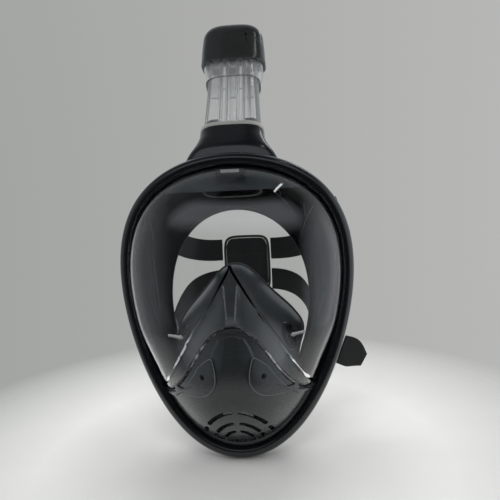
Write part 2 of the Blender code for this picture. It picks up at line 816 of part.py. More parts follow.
def umbrella(name, place, radius, seat_thick, travel, tail, finish):
    """A silicone flap on the -Z side of its seat; its stem ends in a knob and a pull tail."""
    top = seat_thick / 2
    return turned(
        name,
        [
            (0, top + travel + tail), (0.0009, top + travel + tail - 0.0003),
            (0.0012, top + travel + 0.0018), (0.0020, top + travel + 0.0006),
            (0.0011, top + travel + 0.0003),
            (0.0011, -top - 0.0008), (radius * 0.7, -top - 0.0004), (radius, -top - 0.0003),
            (radius, -top - 0.0009), (radius * 0.6, -top - 0.0014), (0, -top - 0.0018),
        ],
        place, finish, steps=16,
    )


def make_valves():
    for hand, side in SIDES:
        place = valve_place(side)
        valve_seat(
            f"inhale_valve_seat_{hand}", place, 0.0109, 0.0030, 6, 0.0024, 0.0063, MATT_BLACK
        )
        umbrella(f"inhale_flap_{hand}", place, 0.0094, 0.0030, 0.0012, 0.0100, PALE_SILICONE)
    place = facing(PURGE_PLACE_OUT, PURGE_CENTRE)
    valve_seat("purge_valve_seat", place, 0.0139, 0.0030, 6, 0.0031, 0.0082, MATT_BLACK)
    outwards = facing(-PURGE_PLACE_OUT, PURGE_CENTRE)
    umbrella("purge_flap", outwards, 0.0122, 0.0030, 0.0015, 0.0030, PALE_SILICONE)


# ---- forehead duct ------------------------------------------------------------------------------
def make_baffle():
    """Plate across the top behind the lens, which turns the incoming air down over the lens."""
    lower, count = 0.0945, 16
    phi_end = 0.0
    while egg(phi_end, 0.0146)[1] > lower + 0.0015:
        phi_end += 0.01
    front_row, back_row = [], []
    outline = [egg(-phi_end + 2 * phi_end * k / count, 0.0146) for k in range(count + 1)]
    outline += [(outline[-1][0], lower), (outline[0][0], lower)]
    for x, z in outline:
        front_row.append(Vector((x, plane(x, z) - 0.0026, z)))
        back_row.append(Vector((x, plane(x, z) - 0.0010, z)))
    plate = loft("duct_baffle", [front_row, back_row], SATIN_GREY)
    centre = Vector((0, plane(0, 0.1090) - 0.0026 - 0.0019, 0.1086))
    catch = box("top_catch", (0.0230, 0.0030, 0.0056), Matrix.Translation(centre), PALE_PLASTIC)
    notch = box(
        "catch_notch", (0.0160, 0.0100, 0.0040),
        Matrix.Translation(centre - Vector((0, 0, 0.0022))), helper=True,
    )
    cut(catch, notch)
    return plate


# ---- snorkel ------------------------------------------------------------------------------------
def tube_half(s):
    t = min(1.0, max(0.0, s / TUBE_TOP))
    return (
        TUBE_HALF_WIDTH + (TUBE_TOP_HALF_WIDTH - TUBE_HALF_WIDTH) * t,
        TUBE_HALF_DEPTH + (TUBE_TOP_HALF_DEPTH - TUBE_HALF_DEPTH) * t,
    )


def make_tube():
    """Clear tube with two partitions: fresh air up the middle, used air up both sides."""
    stations = [-SPIGOT, 0.0] + spaced(0.0, TUBE_TOP, 6)[1:]
    tube = loft("snorkel_tube", [section_at(s, *tube_half(s)) for s in stations], CLEAR)
    half_partition = 0.0008
    beyond = 0.004
    cut_at = [-SPIGOT - beyond, 0.0] + spaced(0.0, TUBE_TOP + beyond, 6)[1:]
    middle, sides = [], []
    for s in cut_at:
        wide, deep = tube_half(s)
        inner = PARTITION_X - half_partition
        middle.append(section_at(s, inner, deep - TUBE_WALL, count=16))
        first, last = PARTITION_X + half_partition, wide - TUBE_WALL
        sides.append((s, (last - first) / 2, deep - TUBE_WALL, (first + last) / 2))
    cut(tube, loft("channel_middle", middle, helper=True))
    for hand, side in SIDES:
        rows = [section_at(s, w, d, shift_x=side * x, count=16) for s, w, d, x in sides]
        cut(tube, loft(f"channel_{hand}", rows, helper=True))
    return tube


def sleeve(name, stations, wall, finish):
    """A tubular shell along the snorkel: stations of (s, half width, half depth, shift)."""
    outer = [section_at(s, w, d, shift_front=f) for s, w, d, f in stations]
    inner = [section_at(s, w - wall, d - wall, shift_front=f) for s, w, d, f in stations]
    return loft(name, outer + inner[::-1], finish, wrap=True)


def make_snorkel():
    make_tube()
    sleeve(
        "tube_gasket",
        [
            (0.0004, 0.0280, 0.0166, 0), (0.0030, 0.0284, 0.0170, 0), (0.0058, 0.0276, 0.0162, 0),
        ],
        0.0011, GREY_RUBBER,
    )
    chamber_wall = 0.0018
    wide, deep = tube_half(0.070)
    collar = (wide + GAP + chamber_wall, deep + GAP + chamber_wall)
    chamber_top = (CAP_HALF_WIDTH - 0.0026, CAP_HALF_DEPTH - 0.0026)
    sleeve(
        "valve_chamber",
        [
            (0.0650, *collar, 0), (0.0700, *collar, 0),
            (0.0805, 0.0275, 0.0180, -0.0014), (0.0870, *chamber_top, -CAP_SHIFT),
            (CHAMBER_TOP, *chamber_top, -CAP_SHIFT),
        ],
        chamber_wall, CLEAR,
    )
    make_cap()
    make_valve_deck()


def cap_stations():
    """(s, share of the full section) from the cap's edge up its domed end."""
    round_part = 0.018
    crown = CAP_TOP - round_part
    found = [(CAP_EDGE, 1.0), (0.104, 0.985)]
    for t in (0.0, 0.3, 0.55, 0.75, 0.9):
        angle = t * math.pi / 2
        found.append((crown + round_part * math.sin(angle), 0.96 * math.cos(angle) ** 0.45))
    return found


def slanted(loop, s):
    """The loop moved along the snorkel so that its front comes lower and its back higher."""
    point, up, ahead = axis_at(s)
    return [p - up * CAP_EDGE_SLANT * (p - point).dot(ahead) / CAP_HALF_DEPTH for p in loop]


def make_cap():
    wall, roof_from = 0.0020, CAP_TOP - 0.012
    outer, inner = [], []
    for s, share in cap_stations():
        wide, deep = CAP_HALF_WIDTH * share, CAP_HALF_DEPTH * share
        outer.append(section_at(s, wide, deep, shift_front=-CAP_SHIFT))
        lowered = s - wall if s > roof_from else s
        inner.append(section_at(lowered, wide - wall, deep - wall, shift_front=-CAP_SHIFT))
    outer[0], inner[0] = slanted(outer[0], CAP_EDGE), slanted(inner[0], CAP_EDGE)
    cap = loft("snorkel_cap", outer[::-1] + inner, GLOSS_BLACK)
    return cut(cap, *cap_windows())


def cap_windows():
    """Cutters of the slit in the cap's front and of the two air intakes at its back."""
    point, up, ahead = axis_at(0.110)
    slit_at = point + Vector((0.0135, 0, 0)) + ahead * (CAP_HALF_DEPTH - CAP_SHIFT)
    cutters = [box("cap_slot", (0.0020, 0.0100, 0.0120), basis(up, ahead, slit_at), helper=True)]
    for side in (-1, 1):
        at = point + Vector((side * 0.0115, 0, 0)) - ahead * (CAP_HALF_DEPTH + CAP_SHIFT)
        cutters.append(
            box(f"cap_intake_{side}", (0.0100, 0.0110, 0.0080), basis(up, ahead, at), helper=True)
        )
    return cutters


def make_valve_deck():
    """Deck on the tube's top with the exhaust flaps, and the float's cage above it."""
    deck = loft(
        "valve_deck",
        [
            section_at(s, CAP_HALF_WIDTH - 0.0032, CAP_HALF_DEPTH - 0.0032, shift_front=-CAP_SHIFT)
            for s in (0.1004, 0.1022)
        ],
        MATT_BLACK,
    )
    for x, half in ((0, 0.0055), (-0.0150, 0.0045), (0.0150, 0.0045)):
        rows = [section_at(s, half, 0.0090, shift_x=x, count=12) for s in (0.096, 0.108)]
        cut(deck, loft(f"deck_hole_{round(x * 1000)}", rows, helper=True))
    for hand, side in SIDES:
        low, up, ahead = axis_at(0.1031)
        place = basis(-ahead, up, low + Vector((side * 0.0153, 0, 0)))
        flap = box(f"exhaust_flap_{hand}", (0.0118, 0.0205, 0.0010), place, PALE_SILICONE)
        round_edges(flap, 0.0003, segments=1)
    floor_s, roof_s = 0.1026, 0.1236
    cage_half = 0.0083
    cage = loft(
        "float_cage",
        [section_at(s, cage_half, 0.0125, count=20) for s in (floor_s, roof_s)],
        SATIN_GREY,
    )
    low, up, ahead = axis_at((floor_s + roof_s) / 2)
    bay = box(
        "float_bay", (0.0138, 0.0214, 0.0180),
        basis(-ahead, up, low), helper=True,
    )
    air = rod("cage_air", 0.0045, 0.06, basis(-ahead, up, low), helper=True)
    cut(cage, bay, air)
    base = axis_at(0.1090)[0]
    floater = box(
        "float", (0.0128, 0.0200, 0.0080), basis(-ahead, up, base), FLOAT_WHITE
    )
    round_edges(floater, 0.0020)
    rod(
        "float_seal", 0.0060, 0.0014,
        basis(-ahead, up, axis_at(0.1140)[0]), GREY_RUBBER,
    )


# ---- head harness -------------------------------------------------------------------------------


def anchor_place(level, side):
    """X along the frame, Z back and square to it, Y out from the mask; the pin's middle is at 0."""
    phi = side * ANCHORS[level]
    here = rim(phi, 0.0058, PIN_DEPTH)
    ahead, behind = rim(phi + 0.04, 0.0058, PIN_DEPTH), rim(phi - 0.04, 0.0058, PIN_DEPTH)
    along = (ahead - behind).normalized() * side
    back = Vector((-2 * FRAME_BOW * here.x / 0.099**2, 1, -FRAME_TILT))
    back = (back - along * back.dot(along)).normalized()
    return basis(back.cross(along).normalized(), back, here)


def make_anchor(level, hand, side):
    """Bracket with two ears on the back of the frame, its steel pin and the clip on it."""
    place = anchor_place(level, side)
    name = f"{level}_{hand}"
    bracket = box(
        f"strap_anchor_{name}", (ANCHOR_LONG, 0.0100, 0.0105),
        place @ Matrix.Translation((0, 0, -0.0012)), MATT_BLACK,
    )
    bay = box(
        f"anchor_bay_{name}", (ANCHOR_LONG - 2 * ANCHOR_EAR, 0.03, 0.0105),
        place @ Matrix.Translation((0, 0, 0.0008)), helper=True,
    )
    turn = Matrix.Rotation(math.radians(90), 4, "Y")
    hole = rod(f"anchor_hole_{name}", PIN_RADIUS + 0.0003, 0.05, place @ turn, helper=True, sides=14)
    cut(bracket, bay, hole)
    rod(f"strap_pin_{name}", PIN_RADIUS, ANCHOR_LONG - 0.0010, place @ turn, STEEL, sides=14)
    clip = box(
        f"strap_clip_{name}", (CLIP_WIDE, CLIP_THICK, CLIP_LONG),
        place @ Matrix.Translation((0, 0, CLIP_LONG / 2 + 0.0005)), GLOSS_BLACK,
    )
    barrel = rod(f"clip_barrel_{name}", BARREL_RADIUS, CLIP_WIDE, place @ turn, helper=True, sides=20)
    bore = rod(f"clip_bore_{name}", PIN_RADIUS + 0.0003, 0.05, place @ turn, helper=True, sides=14)
    window = box(
        f"clip_window_{name}", (CLIP_WIDE - 0.0040, 0.02, 0.0058),
        place @ Matrix.Translation((0, 0, CLIP_LONG - 0.0057)), helper=True,
    )
    cut(clip, barrel, operation="UNION")
    cut(clip, bore, window)


def clip_end(level, side):
    """(point just behind the clip, direction back, direction along the strap's width)."""
    place = anchor_place(level, side)
    point = place @ Vector((0, 0, CLIP_LONG + 0.0011))
    turn = place.to_3x3()
    return point, turn @ Vector((0, 0, 1)), turn @ Vector((1, 0, 0))


def pad_y(x):
    """Depth of the pad, which curves round the back of the head."""
    return HEAD_BACK - PAD_CURVE * x * x


def strap_line(level, side, count=14):
    """(points, width directions) of a strap from its clip round the head to the pad."""
    start, back, along = clip_end(level, side)
    if along.z < 0:
        along = -along
    x = side * (PAD_HALF_WIDTH + 0.0022)
    end = Vector((x, pad_y(x), STRAP_END_Z[level]))
    outwards = Vector((side, -2 * PAD_CURVE * abs(x), 0)).normalized()
    a, b = start + back * LEAVE, end + outwards * ARRIVE
    points, widths = [], []
    for t in spaced(0.0, 1.0, count + 1):
        points.append(
            (1 - t) ** 3 * start + 3 * (1 - t) ** 2 * t * a + 3 * (1 - t) * t * t * b + t**3 * end
        )
        widths.append(along.lerp(Vector((0, 0, 1)), min(1.0, 1.6 * t)).normalized())
    return points, widths


def make_strap(level, hand, side):
    points, widths = strap_line(level, side)
    rows = [
        [p + w * STRAP_WIDE * (share - 0.5) for share in (0.0, 0.5, 1.0)]
        for p, w in zip(points, widths)
    ]
    solidify(strip(f"strap_{level}_{hand}", rows, WEBBING), STRAP_THICK, offset=0.0)


def make_pad():
    """Padded plate at the back of the head, where the four straps meet."""
    rows = []
    for x in spaced(-PAD_HALF_WIDTH, PAD_HALF_WIDTH, 9):
        rows.append([Vector((x, pad_y(x), z)) for z in spaced(PAD_LOW, PAD_HIGH, 4)])
    solidify(strip("back_pad", rows, WEBBING), PAD_THICK, offset=0.0)


def make_buckle(hand, side):
    """Slider on the lower strap, which sets its length."""
    points, widths = strap_line("lower", side)
    here, width = points[4], widths[4]
    along = (points[5] - points[3]).normalized()
    place = basis(along.cross(width).normalized(), along, here)
    buckle = box(
        f"strap_slider_{hand}", (STRAP_WIDE + 0.0070, 0.0076, 0.0150), place, GLOSS_BLACK
    )
    lane = box(
        f"slider_lane_{hand}", (STRAP_WIDE + 0.0016, 0.0052, 0.0300), place, helper=True
    )
    cut(buckle, lane)


def make_tail(hand, side):
    """Free end of the lower strap: lying along the strap on the left, standing out on the right."""
    points = [Vector((side * x, y, z)) for x, y, z in TAIL_ROUTE[side]]
    rows = []
    for point, high in zip(points, TAIL_HEIGHTS[side]):
        rows.append([point + Vector((0, 0, high * (share - 0.5))) for share in (0.0, 0.5, 1.0)])
    solidify(strip(f"strap_tail_{hand}", rows, WEBBING), STRAP_THICK, offset=0.0)


def make_harness():
    for hand, side in SIDES:
        for level in ANCHORS:
            make_anchor(level, hand, side)
            make_strap(level, hand, side)
        make_buckle(hand, side)
        make_tail(hand, side)
    make_pad()


# ---- assembly -----------------------------------------------------------------------------------
clear_scene()
PARTS = collection("full_face_snorkel")
HELPERS = collection("cutters")
GLOSS_BLACK = material("gloss_black_plastic", (0.012, 0.013, 0.015), 0.22)
MATT_BLACK = material("matt_black_plastic", (0.020, 0.020, 0.022), 0.55)
CHIN_GREY = material("charcoal_plastic", (0.032, 0.036, 0.038), 0.28)
SATIN_GREY = material("satin_grey_plastic", (0.075, 0.082, 0.085), 0.42)
PALE_PLASTIC = material("pale_plastic", (0.42, 0.43, 0.43), 0.40)
PALE_SILICONE = material("pale_silicone", (0.62, 0.62, 0.60), 0.50)
SILICONE = material("black_silicone", (0.016, 0.017, 0.019), 0.40)
SMOKY = material("smoky_silicone", (0.035, 0.038, 0.038), 0.30, alpha=0.92)
CLEAR = material("clear_polycarbonate", (0.90, 0.92, 0.92), 0.03, alpha=0.18)
GREY_RUBBER = material("grey_silicone", (0.30, 0.30, 0.29), 0.55)
FLOAT_WHITE = material("float_foam", (0.75, 0.75, 0.73), 0.6)
STEEL = material("stainless_steel", (0.55, 0.55, 0.56), 0.25, metallic=1.0)
WEBBING = material("black_webbing", (0.012, 0.012, 0.013), 0.85)

make_frame()
make_button()
make_lens()
make_chin_cover()
for hand, side in SIDES:
    make_leaf(side, hand)
make_skirt()
make_cup()
make_valves()
make_baffle()
make_snorkel()
make_harness()
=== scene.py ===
"""Looks of the full face snorkel mask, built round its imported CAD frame.

Metres, +Z up, the mask faces -Y. The first half repeats the formulas that give the CAD its form. The front is
the exception: here its swell over nose and mouth runs out more softly, up to 1.8 mm away from the CAD's.
"""
import math

import bmesh
import bpy
import numpy as np
from mathutils import Matrix, Vector


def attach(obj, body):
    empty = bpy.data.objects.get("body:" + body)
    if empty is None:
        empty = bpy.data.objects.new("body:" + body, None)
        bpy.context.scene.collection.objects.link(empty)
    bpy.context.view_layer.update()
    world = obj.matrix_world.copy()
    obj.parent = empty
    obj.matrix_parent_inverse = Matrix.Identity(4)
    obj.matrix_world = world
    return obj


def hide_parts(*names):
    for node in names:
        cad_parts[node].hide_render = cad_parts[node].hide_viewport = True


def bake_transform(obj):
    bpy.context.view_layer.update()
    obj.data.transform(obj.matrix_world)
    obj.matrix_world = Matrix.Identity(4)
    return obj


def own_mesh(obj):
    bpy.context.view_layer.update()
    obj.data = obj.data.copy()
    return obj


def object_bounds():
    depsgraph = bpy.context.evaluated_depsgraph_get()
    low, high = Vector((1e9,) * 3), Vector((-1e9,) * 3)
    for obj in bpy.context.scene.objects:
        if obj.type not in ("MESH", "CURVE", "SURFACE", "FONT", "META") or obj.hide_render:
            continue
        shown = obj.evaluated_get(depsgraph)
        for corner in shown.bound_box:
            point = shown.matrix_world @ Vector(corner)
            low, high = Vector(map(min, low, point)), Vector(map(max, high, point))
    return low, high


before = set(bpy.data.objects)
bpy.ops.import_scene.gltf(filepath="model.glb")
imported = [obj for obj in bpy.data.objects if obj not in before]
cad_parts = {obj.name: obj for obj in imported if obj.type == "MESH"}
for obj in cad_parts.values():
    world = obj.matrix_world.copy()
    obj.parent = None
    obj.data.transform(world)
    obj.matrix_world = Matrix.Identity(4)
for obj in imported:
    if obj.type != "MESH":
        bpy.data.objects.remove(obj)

CAD_BOX = [list(corner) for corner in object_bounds()]
FORWARD = Vector((0, -1, 0))
SIDES = [("left", -1), ("right", 1)]

# ---- the CAD's driving dimensions ---------------------------------------------------------------
FRAME_HALF_WIDTH, FRAME_HALF_HEIGHT = 0.0960, 0.1257
EGG_LEAN, EGG_SWELL = 0.2296, 0.1080
FRAME_TILT, FRAME_BOW = 0.08, 0.012
LIP_BACK, WALL_INSET, FRAME_BACK = -0.0032, 0.0047, 0.0080
FLANGE_OUT, LENS_EDGE, CHIN_EDGE = 0.0056, 0.0102, 0.0132
LENS_FLANGE, LENS_THICK = -0.0028, 0.0020
SKIRT_FLANGE, SKIRT_THICK, SKIRT_INSET = -0.0004, 0.0018, 0.0152
CLAMP_FRONT, CLAMP_BACK = 0.0018, 0.0070
ARCH_TOP, ARCH_DROP, ARCH_WIDTH, ARCH_POWER = -0.0040, 0.064, 0.038, 2.3
LENS_CENTRE_Z, CHIN_CENTRE_Z = 0.040, -0.075
OPENING_HALF_WIDTH, OPENING_TOP, OPENING_BOTTOM = 0.064, 0.079, -0.100
SOCKET_TOP = np.array((0, 0.047, 0.1400))
LEAN_BASE, LEAN_TOP, BEND_LENGTH = math.radians(42), math.radians(28), 0.095
TUBE_HALF_WIDTH, TUBE_HALF_DEPTH = 0.0262, 0.0148
TUBE_TOP_HALF_WIDTH, TUBE_TOP_HALF_DEPTH = 0.0226, 0.0140
TUBE_WALL, PARTITION_X, SPIGOT, TUBE_TOP = 0.0022, 0.0075, 0.020, 0.1000
CAP_EDGE, CAP_TOP = 0.0905, 0.1335
CAP_EDGE_SLANT, CHAMBER_TOP = 0.0075, 0.0998
CAP_HALF_WIDTH, CAP_HALF_DEPTH, CAP_SHIFT = 0.0312, 0.0218, 0.0026
SQUARENESS = 3.4
GAP = 0.0004
QUARTER_TURN = Matrix.Rotation(math.radians(90), 4, "Y")
STRAP_THICK, STRAP_WIDE = 0.0018, 0.0240
PIN_RADIUS, PIN_DEPTH = 0.0013, 0.0150
PIN_BORE = PIN_RADIUS + 0.0003
ANCHORS = {"upper": math.radians(56), "lower": math.radians(114)}
ANCHOR_LONG, ANCHOR_EAR = 0.0340, 0.0030
CLIP_WIDE, CLIP_LONG, CLIP_THICK, BARREL_RADIUS = 0.0272, 0.0200, 0.0044, 0.0034
HEAD_BACK, PAD_CURVE = 0.1660, 5.6
PAD_HALF_WIDTH, PAD_LOW, PAD_HIGH = 0.0255, -0.0225, 0.0425
STRAP_END_Z = {"upper": 0.0275, "lower": -0.0075}
LEAVE, ARRIVE = 0.042, 0.062
SCREW_ANGLES = [math.radians(a) for a in (28, 84, 146, -28, -84, -146)]

# The front seen from the side, as (z, y): over the middle of nose and mouth, and beside the swell.
MID_LINE = [
    (-0.119, -0.018), (-0.105, -0.032), (-0.085, -0.047), (-0.060, -0.059), (-0.035, -0.061),
    (-0.010, -0.056), (0.005, -0.050), (0.025, -0.043), (0.045, -0.0395), (0.080, -0.031),
    (0.105, -0.021), (0.119, -0.012),
]
BASE_LINE = [
    (-0.119, -0.018), (-0.090, -0.034), (-0.060, -0.041), (-0.020, -0.043), (0.025, -0.042),
    (0.045, -0.0395), (0.080, -0.031), (0.105, -0.021), (0.119, -0.012),
]
# Half widths, as (z, x): of the whole swell, and of the flat ridge along its middle.
SWELL_WIDTH = [
    (-0.119, 0.050), (-0.060, 0.058), (-0.020, 0.050), (0.000, 0.040), (0.025, 0.020), (0.042, 0.008)
]
RIDGE_WIDTH = [
    (-0.119, 0.010), (-0.060, 0.012), (-0.010, 0.004), (0.010, 0.005), (0.042, 0.0065)
]
FRONT_ROUNDNESS = 0.200  # radius of the front across the mask
SWELL_EASE = 0.20  # how softly the swell over nose and mouth runs out; the CAD's swell has no such easing


# ---- form: every function takes numbers or numpy arrays -----------------------------------------
def through(knots, at):
    """A smooth curve through (place, value) knots, read at places; its ends run on flat."""
    places, values = np.array(knots, float).T
    ahead_p, ahead_v = np.append(places[1:], places[-1]), np.append(values[1:], values[-1])
    back_p, back_v = np.append(places[0], places[:-1]), np.append(values[0], values[:-1])
    slopes = (ahead_v - back_v) / (ahead_p - back_p)
    at = np.clip(at, places[0], places[-1])
    i = np.clip(np.searchsorted(places, at, side="right") - 1, 0, len(places) - 2)
    step = places[i + 1] - places[i]
    t = (at - places[i]) / step
    return (
        (2 * t**3 - 3 * t**2 + 1) * values[i]
        + (t**3 - 2 * t**2 + t) * step * slopes[i]
        + (3 * t**2 - 2 * t**3) * values[i + 1]
        + (t**3 - t**2) * step * slopes[i + 1]
    )


def smooth(t):
    t = np.clip(t, 0.0, 1.0)
    return t * t * (3 - 2 * t)


def egg_line(angle):
    c = np.cos(angle)
    return FRAME_HALF_WIDTH * np.sin(angle) * (1 + EGG_LEAN * c + EGG_SWELL * c * c), FRAME_HALF_HEIGHT * c


def egg(phi, inset=0.0):
    """(x, z) on the frame's outline, phi from the top towards +X, moved inwards by inset."""
    x, z = egg_line(phi)
    x1, z1 = egg_line(phi + 0.001)
    x0, z0 = egg_line(phi - 0.001)
    dx, dz = x1 - x0, z1 - z0
    size = np.hypot(dx, dz)
    return x + inset * dz / size, z - inset * dx / size


def plane(x, z):
    return FRAME_TILT * z + FRAME_BOW * (x / 0.099) ** 2


def rim(phi, inset, depth):
    """Points on the frame at an inset from its outline and a depth behind its middle surface."""
    x, z = egg(phi, inset)
    return np.stack([x, plane(x, z) + depth, z], -1)


def edge_inset(phi):
    turned = np.abs((phi + math.pi) % math.tau - math.pi)
    return LENS_EDGE + (CHIN_EDGE - LENS_EDGE) * smooth((turned - 1.66) / 0.35)


EDGE_ANGLES = np.linspace(-math.pi, math.pi, 721)
EDGE_X, EDGE_Z = egg(EDGE_ANGLES, edge_inset(EDGE_ANGLES))
EDGE_BEARINGS = np.unwrap(np.arctan2(EDGE_X, EDGE_Z))
EDGE_RADII = np.hypot(EDGE_X, EDGE_Z)


def lens_share(x, z):
    return np.hypot(x, z) / np.interp(np.arctan2(x, z), EDGE_BEARINGS, EDGE_RADII)


def front(x, z):
    base, mid = through(BASE_LINE, z), through(MID_LINE, z)
    flat, width = through(RIDGE_WIDTH, z), through(SWELL_WIDTH, z)
    t = np.clip((np.abs(x) - flat) / np.maximum(width - flat, 1e-6), 0, 1)
    power = 1.3 + 0.7 * np.clip((-0.03 - z) / 0.04, 0, 1)
    rest = np.hypot(1 - t**power, SWELL_EASE) - SWELL_EASE
    rise = (rest / (math.hypot(1, SWELL_EASE) - SWELL_EASE)) ** 1.3
    return base + x * x / (2 * FRONT_ROUNDNESS) + (mid - base) * rise


def shell_y(x, z):
    """Depth of the outer surface of the lens and the chin cover."""
    share = np.minimum(1.0, lens_share(x, z))
    edge = plane(x, z) + LENS_FLANGE
    return edge + (1 - share**5) ** (1 / 2.2) * (front(x, z) - edge)


def on_shell(x, z, out=0.0):
    x, z = np.asarray(x, float), np.asarray(z, float)
    return np.stack([x, shell_y(x, z) - out, z], -1)


def shell_slopes(x, z, step):
    across = (shell_y(x + step, z) - shell_y(x - step, z)) / (2 * step)
    return across, (shell_y(x, z + step) - shell_y(x, z - step)) / (2 * step)


def shell_normal(x, z):
    dx, dz = shell_slopes(x, z, 0.0015)
    return Vector((dx, -1, dz)).normalized()


def arch(x):
    """Height of the line between the lens and the chin cover."""
    return ARCH_TOP - ARCH_DROP * (1 - np.exp(-((np.abs(x) / ARCH_WIDTH) ** ARCH_POWER)))


def beside_arch(x, offset):
    slope = (arch(x + 0.0005) - arch(x - 0.0005)) / 0.001
    size = np.hypot(slope, 1)
    return x - offset * slope / size, arch(x) + offset / size


def junction(offset):
    """phi where the lens outline meets the arch line moved up by offset."""
    low, high = math.radians(90), math.radians(170)
    for _ in range(40):
        mid = (low + high) / 2
        x, z = egg(mid, edge_inset(mid))
        low, high = (mid, high) if z > arch(x) + offset else (low, mid)
    return (low + high) / 2


def snorkel_frame(s):
    """(point, direction up the snorkel, direction to its front) at s along its axis."""
    share = np.clip(s / BEND_LENGTH, 0, 1)
    lean = LEAN_BASE + (LEAN_TOP - LEAN_BASE) * share
    steps = 40
    middles = (np.arange(steps) + 0.5) * max(s, 0.0) / steps
    leans = LEAN_BASE + (LEAN_TOP - LEAN_BASE) * np.clip(middles / BEND_LENGTH, 0, 1)
    run = np.array((0, np.sin(leans).sum(), np.cos(leans).sum())) * max(s, 0.0) / steps
    up = np.array((0, math.sin(lean), math.cos(lean)))
    return SOCKET_TOP + run + min(s, 0.0) * up, up, np.array((0, -math.cos(lean), math.sin(lean)))


def rounded(half_width, half_depth, count, power=SQUARENESS):
    t = 2 * math.pi * (np.arange(count) + 0.5) / count
    c, s = np.cos(t), np.sin(t)
    a = half_width * np.sign(c) * np.abs(c) ** (2 / power)
    return a, half_depth * np.sign(s) * np.abs(s) ** (2 / power)


def section_at(s, half_width, half_depth, shift_x=0.0, shift_front=0.0, count=96, power=SQUARENESS):
    point, _, ahead = snorkel_frame(s)
    a, b = rounded(half_width, half_depth, count, power)
    return point + np.outer(a + shift_x, (1, 0, 0)) + np.outer(b + shift_front, ahead)


def leaning_section(y, z, half_width, half_depth, sag=0.0, count=96):
    ahead = np.array((0, -math.cos(LEAN_BASE), math.sin(LEAN_BASE)))
    a, b = rounded(half_width, half_depth, count)
    return np.stack([a, np.full(count, y), z - sag * a * a], -1) + np.outer(b, ahead)


def basis(y, z, origin):
    """A right-handed matrix from its unit Y and Z directions and an origin."""
    y, z = Vector(y), Vector(z)
    made = Matrix((y.cross(z), y, z)).transposed().to_4x4()
    made.translation = Vector(origin)
    return made


def facing(direction, origin):
    z = Vector(direction).normalized()
    x = Vector((0, 0, 1)).cross(z).normalized()
    return basis(z.cross(x), z, origin)


def between(a, b, c, d, t):
    """A smooth curve's point at share t of the way from b to c, with a before and d after them."""
    return 0.5 * (2 * b + (c - a) * t + (2 * a - 5 * b + 4 * c - d) * t**2 + (3 * b - a - 3 * c + d) * t**3)


def moved(place, x, y, z):
    return place @ Matrix.Translation((x, y, z))


def finer(rows, per):
    """Rows of points with more rows put between them, on smooth curves through the given ones."""
    rows = np.asarray(rows, float)
    padded = np.concatenate([rows[:1] * 2 - rows[1:2], rows, rows[-1:] * 2 - rows[-2:-1]])
    found = []
    for i in range(1, len(padded) - 2):
        found += [between(*padded[i - 1 : i + 3], k / per) for k in range(per)]
    return np.array(found + [rows[-1]])


def finer_values(values, per):
    """The same for a list of plain numbers or of short tuples."""
    values = np.array(values, float)
    return finer(values.reshape(len(values), 1, -1), per)[:, 0]


# ---- mesh tools ---------------------------------------------------------------------------------
def finish_mesh(name, work, material, sharp=35, out=None):
    bmesh.ops.recalc_face_normals(work, faces=work.faces)
    if out is not None:
        work.normal_update()
        if sum((f.normal * f.calc_area() for f in work.faces), Vector()).dot(out) < 0:
            bmesh.ops.reverse_faces(work, faces=work.faces)
    mesh = bpy.data.meshes.new(name)
    work.to_mesh(mesh)
    work.free()
    mesh.shade_smooth()
    mesh.set_sharp_from_angle(angle=math.radians(sharp))
    mesh.materials.append(material)
    thing = bpy.data.objects.new(name, mesh)
    bpy.context.scene.collection.objects.link(thing)
    return thing


def lattice(name, rows, material, wrap=False, ring=True, ends=False, tip=None, out=None, sharp=35):
    """A surface through rows of points. ring closes each row; wrap joins the last row to the first."""
    rows = np.asarray(rows, float)
    work = bmesh.new()
    verts = [[work.verts.new(p) for p in row] for row in rows]
    pairs = list(zip(verts, verts[1:] + verts[:1])) if wrap else list(zip(verts, verts[1:]))
    for a, b in pairs:
        for i in range(len(a) if ring else len(a) - 1):
            j = (i + 1) % len(a)
            work.faces.new((a[i], a[j], b[j], b[i]))
    if ends:
        work.faces.new(verts[0])
        work.faces.new(verts[-1])
    if tip is not None:
        top, last = work.verts.new(tip), verts[-1]
        for i in range(len(last)):
            work.faces.new((last[i], last[(i + 1) % len(last)], top))
    return finish_mesh(name, work, material, sharp, out)


def block(name, size, matrix, material=None, bevel=0.0, segments=3):
    work = bmesh.new()
    bmesh.ops.create_cube(work, size=1)
    bmesh.ops.scale(work, vec=Vector(size), verts=work.verts)
    if bevel:
        bmesh.ops.bevel(
            work, geom=list(work.edges), offset=bevel, segments=segments, profile=0.5, affect="EDGES"
        )
    bmesh.ops.transform(work, matrix=matrix, verts=work.verts)
    return finish_mesh(name, work, material)


def lathe(name, profile, matrix, material, steps=48):
    """A solid turned about the matrix's Z from (radius, height) points that start and end on the axis."""
    work = bmesh.new()
    turns = [2 * math.pi * k / steps for k in range(steps)]
    rings = []
    for r, h in profile:
        if r == 0:
            rings.append([work.verts.new(matrix @ Vector((0, 0, h)))])
        else:
            rings.append(
                [work.verts.new(matrix @ Vector((r * math.cos(t), r * math.sin(t), h))) for t in turns]
            )
    for a, b in zip(rings, rings[1:]):
        for i in range(steps):
            j = (i + 1) % steps
            corners = [a[i % len(a)], a[j % len(a)], b[j % len(b)], b[i % len(b)]]
            work.faces.new(list(dict.fromkeys(corners)))
    return finish_mesh(name, work, material, sharp=40)


def bar(name, radius, length, matrix, material=None, steps=48):
    half = length / 2
    return lathe(name, [(0, half), (radius, half), (radius, -half), (0, -half)], matrix, material, steps)


